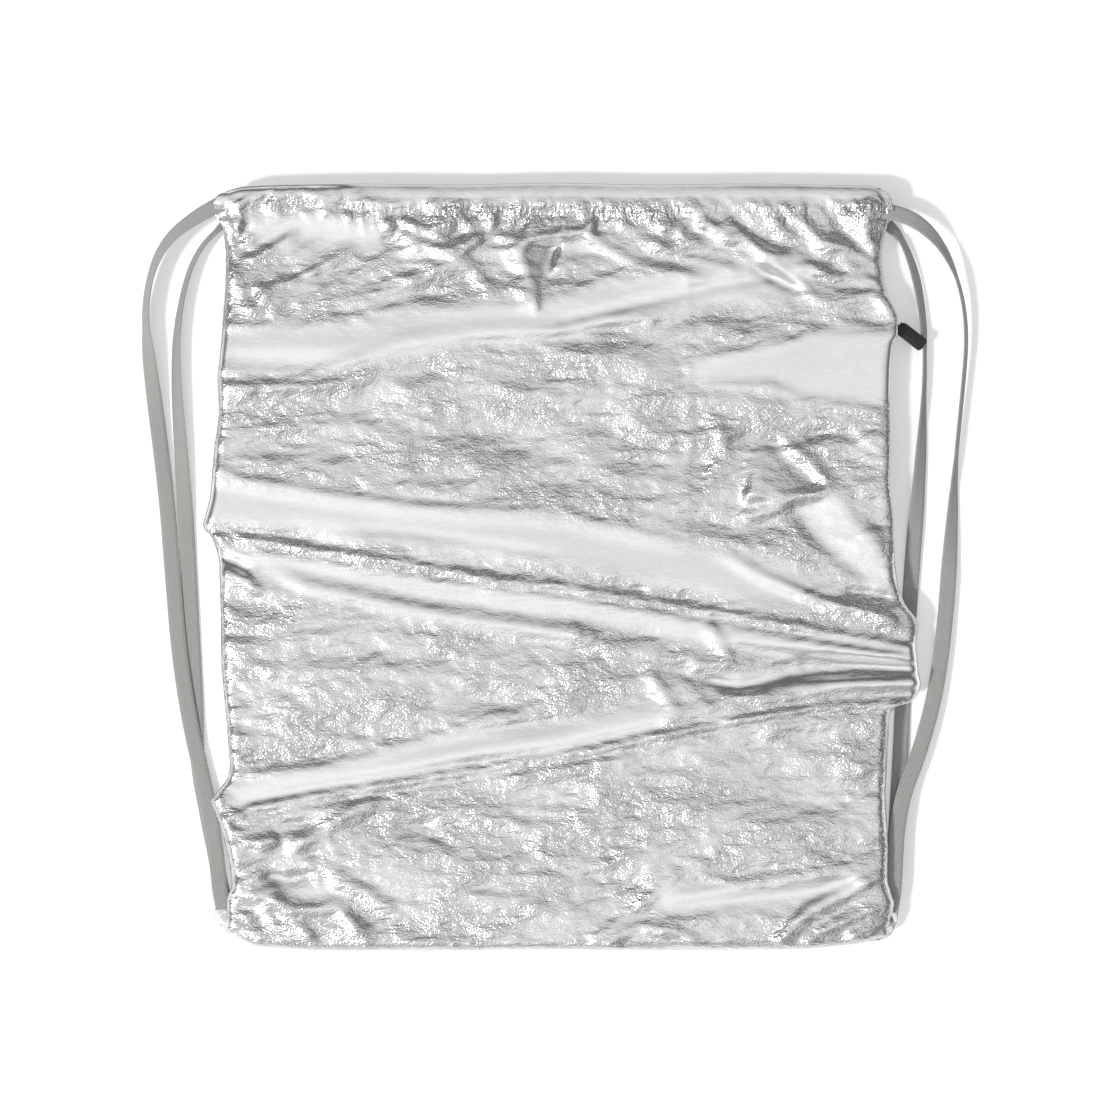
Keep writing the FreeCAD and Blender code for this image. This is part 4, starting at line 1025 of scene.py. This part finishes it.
def on_top(cloth):
    """Gives the height of the front's outer face above the floor, in mm, at a place."""
    def height(x, y):
        hit, where, _, _ = cloth.ray_cast(Vector((x * MM, y * MM, 0.06)), Vector((0, 0, -1)))
        return (where.z / MM if hit else 22.0) + 0.12
    return height


def from_below(cloth):
    """Gives the height of the back's outer face above the floor, in mm, at a place."""
    def height(x, y):
        hit, where, _, _ = cloth.ray_cast(Vector((x * MM, y * MM, -0.03)), Vector((0, 0, 1)))
        return max((where.z / MM if hit else 0.5) - 0.05, 0.2)
    return height


def stitch_row(from_x, to_x, pitch):
    """Places along the hem's line, each with a slight turn."""
    count = int((to_x - from_x) / pitch)
    xs = [from_x + pitch * k for k in range(count + 1)]
    return [(x, STITCH_Y + float(curve_at(HEM_LINE, x)), 2.0 * math.sin(x * 0.7)) for x in xs]


def on_tab(x, y):
    """The bar tacks lie level on the corner tabs."""
    return 14.75


HEM_STITCH, TACK_STITCH, TACKS = 2.1, 4.2, 8
hem_row = stitch_row(-198, 203, 3.1)
left_tacks = [(-209.5 + k * 0.85, -218.5 - k * 0.75, 40) for k in range(TACKS)]
right_tacks = [(206.8 + k * 0.85, -224.5 + k * 0.35, 115) for k in range(TACKS)]
sew("front_hem_stitches", "front_channel_stitching", hem_row, HEM_STITCH, 0.42, on_top(front_cloth))
sew("back_hem_stitches", "back_channel_stitching", hem_row, HEM_STITCH, 0.36, from_below(back_cloth))
sew("left_tack_stitches", "left_tab_bartack", left_tacks, TACK_STITCH, 0.4, on_tab)
sew("right_tack_stitches", "right_tab_bartack", right_tacks, TACK_STITCH, 0.4, on_tab)


# ---------------------------------------------------------------- zip puller

def mould_grip():
    """The soft grip: a flat bar with plain ribs on both faces, rounded at its tip and narrowed at its eye."""
    hinge = Vector((0.21165, 0.155, 0.012))
    start, end, half, thick = 4.8, 25.2, 4.3, 1.75
    neck, tip, rest_turn = 2.8, 3.0, -38
    bpy.ops.object.select_all(action="DESELECT")
    bpy.ops.mesh.primitive_cube_add(size=1.0)
    grip = bpy.context.active_object
    grip.name = grip.data.name = "rubber_grip"
    bpy.ops.object.mode_set(mode="EDIT")
    bpy.ops.mesh.select_all(action="SELECT")
    bpy.ops.transform.resize(value=((end - start) * MM, 2 * half * MM, 2 * thick * MM))
    bpy.ops.transform.translate(value=((start + end) / 2 * MM, 0, 0))
    ribs = [(10.6 + k * 2.5, 11.9 + k * 2.5) for k in range(5)]
    rib_half = 3.1
    for cut in sorted([7.6, 24.0] + [edge for rib in ribs for edge in rib]):
        bpy.ops.mesh.select_all(action="SELECT")
        bpy.ops.mesh.bisect(plane_co=(cut * MM, 0, 0), plane_no=(1, 0, 0))
    for cut in (-rib_half, rib_half):
        bpy.ops.mesh.select_all(action="SELECT")
        bpy.ops.mesh.bisect(plane_co=(0, cut * MM, 0), plane_no=(0, 1, 0))
    bpy.ops.mesh.select_all(action="DESELECT")
    bpy.ops.object.mode_set(mode="OBJECT")
    for vertex in grip.data.vertices:
        x, y = vertex.co.x / MM, vertex.co.y / MM
        if x < start + 0.1:
            vertex.co.y *= neck / half
        if x > end - 0.1:
            vertex.co.y *= tip / half
            vertex.co.z *= 0.8
    bpy.ops.object.mode_set(mode="EDIT")
    bpy.ops.mesh.select_mode(type="FACE")
    bpy.ops.mesh.select_all(action="DESELECT")
    bpy.ops.object.mode_set(mode="OBJECT")
    for face in grip.data.polygons:
        x, y = face.center.x / MM, face.center.y / MM
        on_rib = any(low < x < high for low, high in ribs)
        face.select = on_rib and abs(y) < rib_half and abs(face.normal.z) > 0.9
    bpy.ops.object.mode_set(mode="EDIT")
    bpy.ops.mesh.extrude_region_shrink_fatten(TRANSFORM_OT_shrink_fatten={"value": 0.35 * MM})
    bpy.ops.mesh.select_all(action="SELECT")
    bpy.ops.mesh.remove_doubles(threshold=0.00002)
    bpy.ops.mesh.normals_make_consistent(inside=False)
    bpy.ops.object.mode_set(mode="OBJECT")
    rounded = grip.modifiers.new("rounded", "BEVEL")
    rounded.width, rounded.segments, rounded.limit_method = 0.32 * MM, 3, "ANGLE"
    rounded.angle_limit = math.radians(32)
    bpy.ops.object.modifier_apply(modifier="rounded")
    grip.rotation_euler = (0, 0, math.radians(rest_turn))
    grip.location = hinge
    bpy.ops.object.transform_apply(location=True, rotation=True, scale=True)
    smooth(grip, 40)
    grip.data.materials.append(soft_rubber)
    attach(grip, "puller")
    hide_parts("pull_grip")


mould_grip()


# ---------------------------------------------------------------- finishes of the pieces kept as built

KEPT = {binding: ["bottom_seam_binding", "left_seam_binding", "right_seam_binding_lower",
                  "right_seam_binding_upper",
                  "pocket_edge_binding"],
        thread: ["left_seam_stitching", "right_seam_stitching_lower",
                 "right_seam_stitching_upper", "bottom_seam_stitching"],
        lining: ["pocket_front_layer", "pocket_back_layer"],
        zip_cloth: ["zip_front_tape", "zip_back_tape", "zip_stitching"],
        coil_nylon: ["zip_front_coil", "zip_back_coil"],
        painted_metal: ["zip_slider", "zip_top_stop", "zip_bottom_stop", "pull_loop"]}
for finish, nodes in KEPT.items():
    for node in nodes:
        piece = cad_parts[node]
        piece.data.materials.clear()
        piece.data.materials.append(finish)
